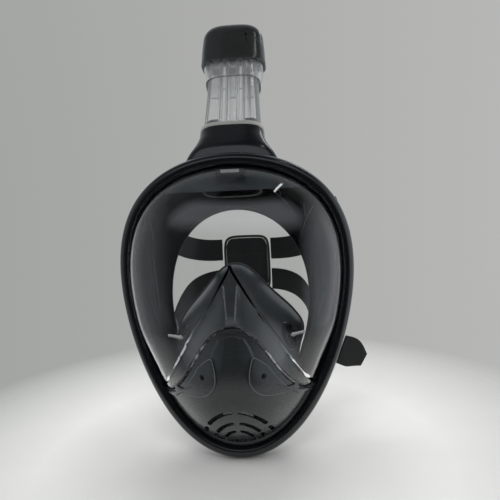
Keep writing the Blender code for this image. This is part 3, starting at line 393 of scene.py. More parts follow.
def tube_along(name, points, radius, material, sides=12, closed=False, radii=None):
    """A round tube along points; radii can scale it from point to point."""
    points = np.asarray(points, float)
    count = len(points)
    ahead = np.roll(points, -1, 0) - np.roll(points, 1, 0)
    if not closed:
        ahead[0], ahead[-1] = points[1] - points[0], points[-1] - points[-2]
    normal, rows = Vector((0.31, 0.17, 0.93)), []
    for k in range(count):
        along = Vector(ahead[k]).normalized()
        normal = (normal - along * normal.dot(along)).normalized()
        side = along.cross(normal)
        size = float(radius * (radii[k] if radii is not None else 1.0))
        turn = [2 * math.pi * i / sides for i in range(sides)]
        rows.append([Vector(points[k]) + size * (normal * math.cos(t) + side * math.sin(t)) for t in turn])
    return lattice(name, rows, material, wrap=closed, ends=not closed, sharp=60)


def modify(thing, kind, **settings):
    made = thing.modifiers.new(kind.lower(), kind)
    for key, value in settings.items():
        setattr(made, key, value)
    return made


def settle(thing):
    """Applies the modifiers."""
    graph = bpy.context.evaluated_depsgraph_get()
    mesh = bpy.data.meshes.new_from_object(thing.evaluated_get(graph))
    thing.modifiers.clear()
    thing.data = mesh
    return thing


def thicken(thing, thickness, even=True, offset=-1.0):
    modify(thing, "SOLIDIFY", thickness=thickness, offset=offset, use_even_offset=even)
    return settle(thing)


def carve(thing, *cutters, operation="DIFFERENCE", sharp=35):
    """Cuts with, or joins on, closed helpers, which are then gone."""
    for cutter in cutters:
        modify(thing, "BOOLEAN", operation=operation, object=cutter, solver="EXACT")
    settle(thing)
    for cutter in cutters:
        bpy.data.objects.remove(cutter)
    thing.data.set_sharp_from_angle(angle=math.radians(sharp))
    return thing


def join(first, *others):
    """Puts other pieces' meshes into the first one, keeping their materials."""
    work = bmesh.new()
    work.from_mesh(first.data)
    for other in others:
        before = len(work.faces)
        work.from_mesh(other.data)
        work.faces.ensure_lookup_table()
        shift = len(first.data.materials)
        for material in other.data.materials:
            first.data.materials.append(material)
        for face in work.faces[before:]:
            face.material_index += shift
    work.to_mesh(first.data)
    work.free()
    for other in others:
        bpy.data.objects.remove(other)
    return first


def round_off(thing, width, segments=2, angle=40):
    modify(
        thing, "BEVEL", width=width, segments=segments, limit_method="ANGLE", angle_limit=math.radians(angle),
        harden_normals=True,
    )
    return thing


def show(thing, body, slot, *nodes):
    """A finished piece: the body it rides on and the CAD nodes it stands for, which are hidden; slot is not
    used.
    """
    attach(thing, body)
    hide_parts(*nodes)
    return thing


# ---- materials ----------------------------------------------------------------------------------
def new_material(name):
    made = bpy.data.materials.new(name)
    made.use_nodes = True
    tree = made.node_tree
    return made, tree, tree.nodes["Principled BSDF"]


def put(tree, kind, settings=(), **inputs):
    """A node with its settings and inputs, by name or as i0, i1...; each is a value or a node's output."""
    made = tree.nodes.new(kind)
    for key, value in dict(settings).items():
        setattr(made, key, value)
    for key, value in inputs.items():
        feed(tree, value, made.inputs[int(key[1:]) if key[1:].isdigit() else key])
    return made


def calculate(tree, operation, *values):
    numbered = {f"i{k}": value for k, value in enumerate(values)}
    return put(tree, "ShaderNodeMath", {"operation": operation}, **numbered).outputs[0]


def grey(tree, *levels):
    """A colour out of one level or of three."""
    red, green, blue = levels if len(levels) == 3 else levels * 3
    return put(tree, "ShaderNodeCombineColor", i0=red, i1=green, i2=blue).outputs[0]


def feed(tree, value, socket):
    if isinstance(value, bpy.types.NodeSocket):
        tree.links.new(value, socket)
    else:
        socket.default_value = value


def raise_bumps(tree, shader, height, strength, distance, **settings):
    bump = put(tree, "ShaderNodeBump", settings, Strength=strength, Distance=distance, Height=height)
    tree.links.new(bump.outputs[0], shader.inputs["Normal"])


def object_place(tree, stretch=(1, 1, 1)):
    where = put(tree, "ShaderNodeTexCoord")
    return put(tree, "ShaderNodeMapping", Vector=where.outputs["Object"], Scale=stretch).outputs[0]


def speckle(tree, scale, detail=3.0, stretch=(1, 1, 1), rough=0.55):
    place = object_place(tree, stretch)
    noise = put(tree, "ShaderNodeTexNoise", Vector=place, Scale=scale, Detail=detail, Roughness=rough)
    return noise.outputs["Fac"]


def span(tree, value, low, high, start=0.3, end=0.7):
    made = put(tree, "ShaderNodeMapRange", Value=value, i1=start, i2=end, i3=low, i4=high)
    return made.outputs[0]


def blend_colours(tree, share, first, second):
    made = put(tree, "ShaderNodeMix", {"data_type": "RGBA"})
    for number, value in ((0, share), (6, first), (7, second)):
        feed(tree, value, made.inputs[number])
    return made.outputs[2]


def shade(colour, factor):
    return (*(min(1.0, c * factor) for c in colour), 1)


def moulded(
    name, colour, gloss, spread=0.08, grain=0.00001, grain_scale=2500, wear=1.25, coat=0.0, metallic=0.0,
    specular=0.5,
):
    """Plastic, rubber or metal: mottled colour, uneven gloss, fine grain, scuffs, paler worn edges."""
    made, tree, shader = new_material(name)
    cloud = speckle(tree, 45, 4)
    base = blend_colours(tree, span(tree, cloud, 0, 1), shade(colour, 0.88), shade(colour, 1.14))
    edge = put(tree, "ShaderNodeNewGeometry").outputs["Pointiness"]
    worn = span(tree, edge, 0, 0.4, 0.53, 0.65)
    tree.links.new(blend_colours(tree, worn, base, shade(colour, wear)), shader.inputs["Base Color"])
    scuffs = speckle(tree, 60, 6, (1, 1, 9), 0.7)
    uneven = span(tree, scuffs, gloss - spread / 2, gloss + spread, 0.35, 0.75)
    tree.links.new(uneven, shader.inputs["Roughness"])
    raise_bumps(tree, shader, speckle(tree, grain_scale, 2), 0.5, grain)
    shader.inputs["Metallic"].default_value = metallic
    shader.inputs["Specular IOR Level"].default_value = specular
    shader.inputs["Coat Weight"].default_value = coat
    shader.inputs["Coat Roughness"].default_value = 0.08
    return made


def clear_plastic(name, tint, gloss=0.015, wave=0.00012, clarity=1.0):
    """Clear plastic with faint flow marks and hairline scratches; lamps shine through it."""
    made, tree, shader = new_material(name)
    shader.inputs["Base Color"].default_value = (*tint, 1)
    shader.inputs["Transmission Weight"].default_value = clarity
    shader.inputs["IOR"].default_value = 1.49
    scratches = speckle(tree, 90, 8, (1, 1, 14), 0.8)
    tree.links.new(span(tree, scratches, gloss, gloss + 0.03, 0.6, 0.85), shader.inputs["Roughness"])
    raise_bumps(tree, shader, speckle(tree, 38, 2), 0.35, wave)
    through_it = put(tree, "ShaderNodeBsdfTransparent", Color=(*[0.5 + 0.5 * c for c in tint], 1))
    ray = put(tree, "ShaderNodeLightPath")
    shadow = ray.outputs["Is Shadow Ray"]
    mixed = put(tree, "ShaderNodeMixShader", i0=shadow, i1=shader.outputs[0], i2=through_it.outputs[0])
    tree.links.new(mixed.outputs[0], tree.nodes["Material Output"].inputs["Surface"])
    return made


def woven(name, colour, pitch=0.0012, depth=0.00022):
    """Webbing: ribs across it and threads along it, from the piece's own length and width coordinates; the
    weave's hollows get painted shade.
    """
    made, tree, shader = new_material(name)
    where = put(tree, "ShaderNodeUVMap", {"uv_map": "weave"}).outputs[0]
    along = put(tree, "ShaderNodeMapping", Vector=where, Scale=(1 / pitch, 1 / pitch, 1)).outputs[0]
    parts = put(tree, "ShaderNodeSeparateXYZ", Vector=along)

    def ripple(socket, factor):
        return calculate(
            tree, "ABSOLUTE", calculate(tree, "SINE", calculate(tree, "MULTIPLY", socket, factor))
        )

    height = calculate(
        tree, "MULTIPLY", ripple(parts.outputs[1], math.pi), ripple(parts.outputs[0], math.pi * 1.5)
    )
    fuzz = speckle(tree, 1800, 4)
    mottled = blend_colours(tree, span(tree, fuzz, 0, 1), shade(colour, 0.7), shade(colour, 1.7))
    # Painted shade: the colour darkens to 0.35 where the weave is low, in the hollows between ribs and
    # threads.
    lit = blend_colours(tree, height, shade(colour, 0.35), mottled)
    tree.links.new(lit, shader.inputs["Base Color"])
    tree.links.new(span(tree, fuzz, 0.7, 0.95), shader.inputs["Roughness"])
    shader.inputs["Sheen Weight"].default_value = 0.06
    shader.inputs["Sheen Roughness"].default_value = 0.5
    raise_bumps(tree, shader, height, 0.8, depth)
    return made


def knitted(name, colour):
    """Fine knitted face of the padding: small offset loops over a soft mottle, with the loops' tops painted
    lighter and the gaps between them painted darker, as light and shade.
    """
    made, tree, shader = new_material(name)
    place = object_place(tree, (1, 0.4, 1))
    cells = put(tree, "ShaderNodeTexVoronoi", Vector=place, Scale=900.0, Randomness=0.25)
    loops = cells.outputs["Distance"]
    fuzz = speckle(tree, 1500, 3)
    # Painted light and shade: loop tops lighter, the sunk gaps between loops darker.
    base = blend_colours(tree, span(tree, loops, 0, 1, 0.1, 0.6), shade(colour, 1.8), shade(colour, 0.5))
    fluffed = blend_colours(tree, span(tree, fuzz, 0, 0.4), base, shade(colour, 2.2))
    tree.links.new(fluffed, shader.inputs["Base Color"])
    shader.inputs["Sheen Weight"].default_value = 0.08
    tree.links.new(span(tree, fuzz, 0.75, 0.95), shader.inputs["Roughness"])
    raise_bumps(tree, shader, loops, 0.7, 0.0002, invert=True)
    return made


RING_BLACK = moulded("ring_black_plastic", (0.006, 0.0065, 0.008), 0.22, 0.08, coat=0.35)
CAP_BLACK = moulded("cap_black_plastic", (0.020, 0.022, 0.022), 0.22, 0.08, coat=0.3)
MATT_BLACK = moulded("matt_black_plastic", (0.012, 0.012, 0.014), 0.48, 0.14, grain=0.00005, wear=1.5)
CHIN_GREY = moulded(
    "charcoal_plastic", (0.020, 0.0235, 0.025), 0.27, 0.03, grain=0.000003, wear=1.0, coat=0.2
)
SATIN_GREY = moulded("satin_grey_plastic", (0.085, 0.095, 0.100), 0.38, 0.10)
PALE_PLASTIC = moulded("pale_plastic", (0.40, 0.41, 0.41), 0.36, 0.12)
PALE_SILICONE = moulded("pale_silicone", (0.60, 0.60, 0.58), 0.42, 0.12, grain=0.00004)
BLACK_SILICONE = moulded(
    "black_silicone", (0.0030, 0.0035, 0.0045), 0.38, 0.02, grain=0.000001, wear=1.0, specular=0.22
)
GREY_SILICONE = moulded("grey_silicone", (0.30, 0.30, 0.285), 0.45, 0.15, grain=0.00004, wear=1.2)
FOAM = moulded("float_foam", (0.74, 0.74, 0.72), 0.7, 0.2, grain=0.0001, grain_scale=1800, wear=1.1)
STEEL = moulded("stainless_steel", (0.55, 0.55, 0.56), 0.24, 0.16, metallic=1.0, wear=1.2)
THREAD = moulded("grey_thread", (0.045, 0.046, 0.048), 0.7, 0.2, grain=0.00006, grain_scale=4000)
LENS_CLEAR = clear_plastic("clear_lens", (0.955, 0.965, 0.965))
TUBE_CLEAR = clear_plastic("clear_tube", (0.93, 0.94, 0.94), gloss=0.03, wave=0.0003, clarity=0.94)
SMOKY = moulded("smoky_silicone", (0.036, 0.040, 0.042), 0.30, 0.04, grain=0.000003, specular=0.6)
BLACK_STEEL = moulded("blackened_steel", (0.030, 0.030, 0.032), 0.30, 0.12, metallic=1.0, wear=2.0)
# Fold crests: glossier silicone whose paler colour is a painted highlight along each crease.
FOLD_SHINE = moulded("fold_crest_painted_highlight", (0.035, 0.038, 0.040), 0.16, 0.06, specular=0.9, coat=0.6)
WEBBING = woven("black_webbing", (0.010, 0.010, 0.011))
KNIT = knitted("black_knit", (0.011, 0.011, 0.012))
BINDING = knitted("black_binding", (0.014, 0.014, 0.016))


# ---- camera, light and floor --------------------------------------------------------------------
CAMERA_AT = Vector((0.038, -0.4041, 0.0958))
CAMERA_YAW, CAMERA_PITCH, CAMERA_ROLL = math.radians(-3.47), math.radians(-7.0), math.radians(-2.71)
CAMERA_LENS = 36.0
FLOOR_MIDDLE, FLOOR_FADE = (0.0, 0.0), (0.17, 0.34)
ROOM_HAZE, ROOM_LEFT, ROOM_RIGHT, ROOM_BACK, ROOM_DARK = 0.10, 0.38, 0.75, 0.42, 0.008
ROOM_CEILING = 0.8
# Where each pale part of the room begins and ends, as parts of a direction.
LEFT_SPAN, RIGHT_SPAN, BACK_SPAN = (-0.92, -0.62), (0.68, 0.92), (0.15, 0.60)
CEILING_LOW, CEILING_HIGH, CEILING_FRONT = (0.46, 0.62), (0.78, 0.88), (-0.45, -0.20)
HAZE_SLOPE, HAZE_SPAN = 0.49, (-0.02, 0.05)
SIDE_GLOW = 1.3  # how much brighter the sides are to what shines through the lens


def make_camera():
    ahead = Vector((
        math.sin(CAMERA_YAW) * math.cos(CAMERA_PITCH), math.cos(CAMERA_YAW) * math.cos(CAMERA_PITCH),
        math.sin(CAMERA_PITCH),
    ))
    level = Vector((math.cos(CAMERA_YAW), -math.sin(CAMERA_YAW), 0))
    above = level.cross(ahead)
    across = level * math.cos(CAMERA_ROLL) + above * math.sin(CAMERA_ROLL)
    upright = above * math.cos(CAMERA_ROLL) - level * math.sin(CAMERA_ROLL)
    data = bpy.data.cameras.new("camera")
    data.lens, data.sensor_width, data.clip_start = CAMERA_LENS, 36.0, 0.01
    camera = bpy.data.objects.new("camera", data)
    camera.matrix_world = basis(upright, -ahead, CAMERA_AT)
    assert (camera.matrix_world.to_3x3() @ Vector((1, 0, 0)) - across).length < 1e-4
    bpy.context.scene.collection.objects.link(camera)
    bpy.context.scene.camera = camera


def soft_light(name, place, target, size, power, mirrored=True):
    data = bpy.data.lights.new(name, "AREA")
    data.shape, data.size, data.size_y = "RECTANGLE", size[0], size[1]
    data.energy = power
    lamp = bpy.data.objects.new(name, data)
    lamp.location = place
    lamp.rotation_euler = (Vector(target) - Vector(place)).to_track_quat("-Z", "Y").to_euler()
    lamp.visible_glossy = lamp.visible_transmission = mirrored
    bpy.context.scene.collection.objects.link(lamp)


def make_studio():
    floor_z = CAD_BOX[0][2] - 0.0002
    made, tree, shader = new_material("pale_floor")
    mottle = blend_colours(tree, speckle(tree, 30, 3), (0.66, 0.66, 0.655, 1), (0.71, 0.71, 0.70, 1))
    tree.links.new(mottle, shader.inputs["Base Color"])
    shader.inputs["Roughness"].default_value = 0.6
    measure = {"operation": "DISTANCE"}
    where = put(tree, "ShaderNodeVectorMath", measure, i0=object_place(tree), i1=(*FLOOR_MIDDLE, floor_z))
    tree.links.new(span(tree, where.outputs["Value"], 1, 0, *FLOOR_FADE), shader.inputs["Alpha"])
    corners = [[(x, y, floor_z) for x in (-4, 4)] for y in (-4, 4)]
    lattice("floor", corners, made, ring=False)
    soft_light("ceiling_back", (0.15, 1.0, 1.1), (0, 0.02, 0), (1.5, 0.7), 17, mirrored=False)
    soft_light("ceiling_front", (-0.1, -0.9, 1.4), (0, 0.02, 0), (0.9, 0.3), 8, mirrored=False)
    soft_light("left_panel", (-1.4, 0.15, 0.35), (0, 0, 0.03), (0.6, 1.1), 9, mirrored=False)
    soft_light("right_panel", (1.4, 0.10, 0.35), (0, 0, 0.03), (0.6, 1.1), 7, mirrored=False)
    soft_light("top_strip", (0.55, -0.10, 1.2), (0.03, 0, 0.05), (0.40, 0.03), 0.25)
    soft_light("back_strip", (0.55, 0.8, 0.85), (0, 0, 0.05), (0.35, 0.10), 0.35)
    make_world()
    bpy.context.scene.view_settings.view_transform = "Standard"


def make_world():
    """Grey room for the eye; for the surfaces a room with pale sides and a dark end behind the viewer."""
    world = bpy.data.worlds.new("studio")
    bpy.context.scene.world = world
    world.use_nodes = True
    tree = world.node_tree
    direction = put(tree, "ShaderNodeTexCoord").outputs["Generated"]
    x, y, z = put(tree, "ShaderNodeSeparateXYZ", Vector=direction).outputs

    def largest(first, *others):
        for other in others:
            first = calculate(tree, "MAXIMUM", first, other)
        return first

    def product(a, b):
        return calculate(tree, "MULTIPLY", a, b)

    beside = calculate(tree, "SUBTRACT", product(y, HAZE_SLOPE), x)
    haze = span(tree, beside, 0, ROOM_HAZE, *HAZE_SPAN)
    left = span(tree, x, ROOM_LEFT, 0, *LEFT_SPAN)
    right = span(tree, x, 0, ROOM_RIGHT, *RIGHT_SPAN)
    back = span(tree, y, 0, ROOM_BACK, *BACK_SPAN)
    band = product(span(tree, z, 0, 1, *CEILING_LOW), span(tree, z, 1, 0, *CEILING_HIGH))
    ceiling = product(band, span(tree, y, ROOM_CEILING, 0, *CEILING_FRONT))
    lit = largest(left, right, haze, back, ceiling, ROOM_DARK)
    room = grey(tree, *[product(lit, share) for share in (0.93, 1.0, 1.05)])
    shade_span = span(tree, x, 0, 1, -0.5, 0.5)
    wall = blend_colours(tree, shade_span, (0.365, 0.375, 0.365, 1), (0.485, 0.485, 0.475, 1))
    ray = put(tree, "ShaderNodeLightPath").outputs
    plain = largest(ray["Is Camera Ray"], ray["Is Diffuse Ray"])
    glow = put(tree, "ShaderNodeMix", {"data_type": "RGBA", "blend_type": "LIGHTEN"})
    sides = grey(tree, product(largest(left, right), SIDE_GLOW))
    for number, value in ((0, 1.0), (6, wall), (7, sides)):
        feed(tree, value, glow.inputs[number])
    onwards = product(ray["Is Transmission Ray"], span(tree, y, 0, 1, 0.0, 0.2))
    passed = blend_colours(tree, onwards, room, glow.outputs[2])
    tree.links.new(blend_colours(tree, plain, passed, wall), tree.nodes["Background"].inputs["Color"])


# ---- frame --------------------------------------------------------------------------------------
def hoop(name, section, material, count=240):
    phi = np.arange(count) * 2 * math.pi / count
    columns = [rim(phi, inset, depth) for inset, depth in section]
    return lattice(name, np.stack(columns, 1), material, wrap=True, sharp=30)


def socket_rows(grow=0.0):
    flare = [
        section_at(0.0, 0.0284 + grow, 0.0170 + grow),
        section_at(-0.008, 0.0290 + grow, 0.0175 + grow),
        leaning_section(0.0360, 0.1278, 0.0318 + grow, 0.0180 + grow, sag=0.5),
        leaning_section(0.0290, 0.1220, 0.0380 + grow, 0.0168 + grow, sag=2.5),
        leaning_section(0.0232, 0.1172, 0.0425 + grow, 0.0130 + grow, sag=4.0),
    ]
    return finer(flare, 8), snout_rows(grow)


def snout_rows(grow=0.0):
    return [
        leaning_section(0.0300, 0.1100, 0.0285 + grow, 0.0100 + grow, sag=2.0),
        leaning_section(0.0245, 0.1010, 0.0255 + grow, 0.0092 + grow),
        leaning_section(0.0185, 0.0945, 0.0250 + grow, 0.0088 + grow),
    ]


def button_place(out):
    point, up, ahead = snorkel_frame(-0.0090)
    return basis(up, -ahead, point - ahead * (0.0175 + out))


def make_frame():
    crown = finer(
        [(0.0, -0.0026), (0.0012, -0.0060), (0.0040, -0.0079), (0.0070, -0.0078), (0.0088, -0.0064)], 4
    )
    section = [tuple(p) for p in crown]
    section += [
        (0.0091, -0.0060), (0.0095, -0.0054), (0.0095, LIP_BACK), (WALL_INSET, LIP_BACK),
        (WALL_INSET, FRAME_BACK), (0.0006, FRAME_BACK), (0.0, FRAME_BACK - 0.0006),
        (0.0, 0.0039), (0.0004, 0.0036), (0.0, 0.0033),
    ]
    ring = hoop("frame_ring_fine", section, RING_BLACK)
    flare, snout = socket_rows()
    neck = lattice("neck_stock", np.concatenate([flare, snout]), RING_BLACK, ends=True)
    boss = block("boss_stock", (0.024, 0.0155, 0.015), button_place(0.0035), RING_BLACK, bevel=0.0012)
    channel = lattice(
        "socket_channel",
        [
            section_at(0.006, TUBE_HALF_WIDTH + GAP, TUBE_HALF_DEPTH + GAP),
            section_at(-SPIGOT - 0.001, TUBE_HALF_WIDTH + GAP, TUBE_HALF_DEPTH + GAP),
            section_at(-SPIGOT - 0.0012, 0.0232, 0.0120),
            leaning_section(0.0300, 0.1100, 0.0258, 0.0078),
            leaning_section(0.0245, 0.1010, 0.0230, 0.0070),
            leaning_section(0.0140, 0.0895, 0.0225, 0.0064),
        ],
        RING_BLACK, ends=True,
    )
    pocket = block("button_pocket", (0.0172, 0.0112, 0.0100), button_place(0.0070), RING_BLACK, bevel=0.0008)
    carve(ring, neck, boss, operation="UNION")
    carve(ring, channel, pocket)
    show(ring, "root", "gloss_black", "frame_ring")


def cross_screw(name, place, radius, head, shank_radius, depth, material):
    """A countersunk screw with a cross recess; the place's origin is on the surface it sits in."""
    screw = lathe(
        name,
        [
            (0, head), (radius * 0.55, head * 0.96), (radius * 0.86, head * 0.6), (radius, head * 0.1),
            (radius, -0.0011), (shank_radius, -0.0011), (shank_radius, -depth), (0, -depth),
        ],
        place, material, steps=32,
    )
    blades = []
    for k in range(2):
        turn = place @ Matrix.Rotation(math.radians(45 + 90 * k), 4, "Z") @ Matrix.Translation((0, 0, head))
        blades.append(block(f"{name}_recess_{k}", (radius * 1.15, radius * 0.26, head * 1.4), turn, material))
    return carve(screw, *blades)


def make_clamp():
    section = [
        (0.0052, CLAMP_FRONT), (0.0125, CLAMP_FRONT), (0.0125, CLAMP_BACK - 0.0008),
        (0.0123, CLAMP_BACK - 0.0002), (0.0117, CLAMP_BACK), (0.0060, CLAMP_BACK),
        (0.0054, CLAMP_BACK - 0.0002), (0.0052, CLAMP_BACK - 0.0008),
    ]
    clamp = hoop("rear_clamp_fine", section, MATT_BLACK)
    seats = []
    for k, phi in enumerate(SCREW_ANGLES):
        centre = Vector(rim(phi, 0.0087, CLAMP_BACK))
        place = facing((0, 1, 0), centre)
        seats.append(bar(f"clamp_bore_{k}", 0.0016, 0.02, place, MATT_BLACK, 24))
        seats.append(bar(
            f"clamp_seat_{k}", 0.0030, 0.0044, place @ Matrix.Translation((0, 0, 0.0004)), MATT_BLACK, 32
        ))
        screw = cross_screw(f"clamp_screw_{k + 1}_fine", place, 0.0025, 0.0009, 0.0012, 0.0044, STEEL)
        show(screw, "root", "steel", f"clamp_screw_{k + 1}")
    carve(clamp, *seats)
    show(clamp, "root", "matt_black", "rear_clamp_ring")


def make_button():
    size = (0.0162, 0.0102, 0.0050)
    button = block("release_button_fine", size, button_place(0.0088), SATIN_GREY, bevel=0.0010)
    size = (0.0110, 0.0009, 0.0012)
    grips = [
        block(f"grip_{k}", size, moved(button_place(0.0113), 0, y, 0), SATIN_GREY)
        for k, y in enumerate((-0.0026, 0.0, 0.0026))
    ]
    show(carve(button, *grips), "release_button", "satin_grey", "release_button")
    turns, radius, height, wire = 3, 0.0026, 0.0030, 0.00035
    angles = np.linspace(0, 2 * math.pi * turns, 40 * turns)
    place = button_place(0.0026)
    line = [
        place @ Vector((radius * math.cos(a), radius * math.sin(a), height * a / angles[-1])) for a in angles
    ]
    spring = tube_along("button_spring_fine", line, wire, STEEL, sides=10)
    show(spring, "root", "steel", "button_spring")
    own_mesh(spring)


# ---- lens and chin cover ------------------------------------------------------------------------
def even_stations(end, count):
    """x places from +end to -end at even distances along the arch."""
    x = np.linspace(end, -end, 2001)
    run = np.concatenate([[0], np.cumsum(np.hypot(np.diff(x), np.diff(arch(x))))])
    return np.interp(np.linspace(0, run[-1], count + 2)[1:-1], run, x)


def outline_rows(phi_first, phi_last, egg_count, arch_count, arch_offset):
    """Boundary (x, z) over the frame side and back along the arch, and the frame angles used."""
    angles = np.linspace(phi_first, phi_last, egg_count + 1)
    x, z = egg(angles, edge_inset(angles))
    stations = math.copysign(1, x[-1]) * even_stations(abs(x[-1]), arch_count)
    ax, az = beside_arch(stations, arch_offset)
    return angles, (np.append(x, ax), np.append(z, az)), stations, abs(x[-1])


def shell_dome(name, boundary, outer, centre_z, shares, material, out=0.0):
    x, z = boundary
    rows = [outer, on_shell(x, z, out(x, z) if callable(out) else out)]
    for share in shares:
        px, pz = x * share, centre_z + (z - centre_z) * share
        rows.append(on_shell(px, pz, out(px, pz) if callable(out) else out))
    tip = on_shell(0.0, centre_z, out(0.0, centre_z) if callable(out) else out)
    return lattice(name, rows, material, tip=tip, out=FORWARD, sharp=50)


def frame_outer(angles):
    insets = np.full(len(angles), FLANGE_OUT)
    insets[[0, -1]] = edge_inset(angles[[0, -1]]) - 0.0004
    return rim(angles, insets, LENS_FLANGE)


def make_lens():
    phi = junction(0.0030)
    angles, boundary, stations, end = outline_rows(-phi, phi, 220, 220, 0.0030)
    lip_x, lip_z = beside_arch(stations, 0.0012)
    fade = np.minimum(1.0, (end - np.abs(stations)) / 0.012)
    outer = np.concatenate([frame_outer(angles), on_shell(lip_x, lip_z, 0.0012 * fade)])
    shares = 1 - np.linspace(0.03, 1, 74)[:-1] ** 1.4
    shares = np.concatenate([[0.9985, 0.997, 0.9955], shares])
    lens = shell_dome("lens_fine", boundary, outer, LENS_CENTRE_Z, shares, LENS_CLEAR)
    thicken(lens, LENS_THICK, even=False)
    true_normals(lens)
    show(lens, "root", "clear", "lens")


def true_normals(lens):
    """Gives both faces of the lens the normals of its formula, away from its moulded rim."""
    co = np.empty(len(lens.data.vertices) * 3)
    lens.data.vertices.foreach_get("co", co)
    outer = co.reshape(-1, 3)[: len(co) // 6]
    x, z = outer[:, 0], outer[:, 2]
    dx, dz = shell_slopes(x, z, 0.0006)
    normals = np.stack([dx, -np.ones_like(dx), dz], -1)
    normals /= np.linalg.norm(normals, axis=1)[:, None]
    inside = (lens_share(x, z) < 0.985) & (np.abs(outer[:, 1] - shell_y(x, z)) < 0.0001)
    normals *= inside[:, None]
    lens.data.normals_split_custom_set_from_vertices(np.concatenate([normals, -normals]).tolist())


def nose_ribs():
    """Two fine beads along the edges of the lens's nose ridge."""
    for hand, side in SIDES:
        z = np.linspace(0.0255, 0.0015, 60)
        x = side * np.interp(z, [0.0, 0.0255], [0.0030, 0.0052])
        size = 0.8 + 0.2 * np.cos(z * 2600) * np.cos(z * 900)
        points = on_shell(x, z, 0.0001)
        rib = tube_along(f"nose_rib_{hand}", points, 0.00065, LENS_CLEAR, sides=12, radii=size)
        show(rib, "root", "clear")


def slot_cutters():
    """Arcs as (half width, half height, spans in degrees); wider than the CAD's 2.2 mm slots."""
    centre_z, half_wide = -0.112, 0.0018
    rows = [
        (0.0288, 0.0447, [(6.6, 49), (60, 68)]),
        (0.0203, 0.0321, [(9.9, 53), (64, 75)]),
        (0.0128, 0.0214, [(14, 54), (70, 82)]),
        (0.0068, 0.0060, [(18, 55)]),
    ]
    cutters = []
    for half_x, half_z, spans in rows:
        for first, last in spans:
            for side in (1, -1):
                cutters.append(slot_cutter(half_x, half_z, centre_z, half_wide, first, last, side))
    return cutters


def slot_cutter(half_x, half_z, centre_z, half_wide, first, last, side):
    """A prism through the cover with an arc-shaped, round-ended outline."""
    t = np.radians(np.linspace(first, last, 15))
    line = np.stack([side * half_x * np.sin(t), centre_z + half_z * np.cos(t)], -1)
    ahead = np.gradient(line, axis=0)
    ahead /= np.linalg.norm(ahead, axis=1)[:, None]
    across = np.stack([-ahead[:, 1], ahead[:, 0]], -1)
    turn = np.linspace(0, math.pi, 7)[1:-1]
    end = [line[-1] + half_wide * (math.cos(a) * across[-1] + math.sin(a) * ahead[-1]) for a in turn]
    start = [line[0] - half_wide * (math.cos(a) * across[0] + math.sin(a) * ahead[0]) for a in turn]
    outline = np.concatenate([line + half_wide * across, end, (line - half_wide * across)[::-1], start])
    walls = [[(x, y, z) for x, z in outline] for y in (-0.09, -0.012)]
    return lattice("slot", walls, MATT_BLACK, ends=True)


# The edge of the chin cover's middle panel, as (x, z).
PANEL_EDGE = [(0.0, -0.0088), (0.0090, -0.0115), (0.0126, -0.0176), (0.0156, -0.0252), (0.0200, -0.0400)]


def panel_rise(x, z):
    """The chin cover's middle panel stands proud of the crescents beside it, and fades out downwards."""
    xs, zs = np.array(PANEL_EDGE).T
    limit = np.interp(-np.asarray(z), -zs, xs, left=-0.004)
    inside = smooth((limit - np.abs(x)) / 0.0010 + 0.5)
    return -0.0011 * (1 - inside) * smooth((np.asarray(z) + 0.062) / 0.02) * smooth((arch(x) - z) / 0.0016)


def make_chin_cover():
    phi = junction(-0.0008)
    angles, (x, z), *_ = outline_rows(phi, 2 * math.pi - phi, 120, 220, -0.0008)
    along_arch = slice(len(angles), None)
    outer = np.concatenate([frame_outer(angles), on_shell(x[along_arch], z[along_arch], -0.0026)])
    shares = np.concatenate([1 - np.linspace(0.004, 0.30, 52), np.linspace(0.68, 0.03, 24)])
    cover = shell_dome("chin_cover_fine", (x, z), outer, CHIN_CENTRE_Z, shares, CHIN_GREY, panel_rise)
    thicken(cover, 0.0018, even=False)
    carve(cover, *slot_cutters())
    show(cover, "root", "chin_grey", "chin_cover")


# The free edge of a leaf-shaped side plate, as (x, z); the rest of it follows the arch.
LEAF = [
    (0.0560, -0.0650), (0.0440, -0.0580), (0.0340, -0.0562), (0.0244, -0.0546), (0.0176, -0.0507),
    (0.0132, -0.0445), (0.0124, -0.0380), (0.0134, -0.0310), (0.0162, -0.0255),
]
LEAF_MIDDLE, LEAF_RISE = (0.0290, -0.0460), 0.0022
CHIN_SCREW = (0.0222, -0.0398)


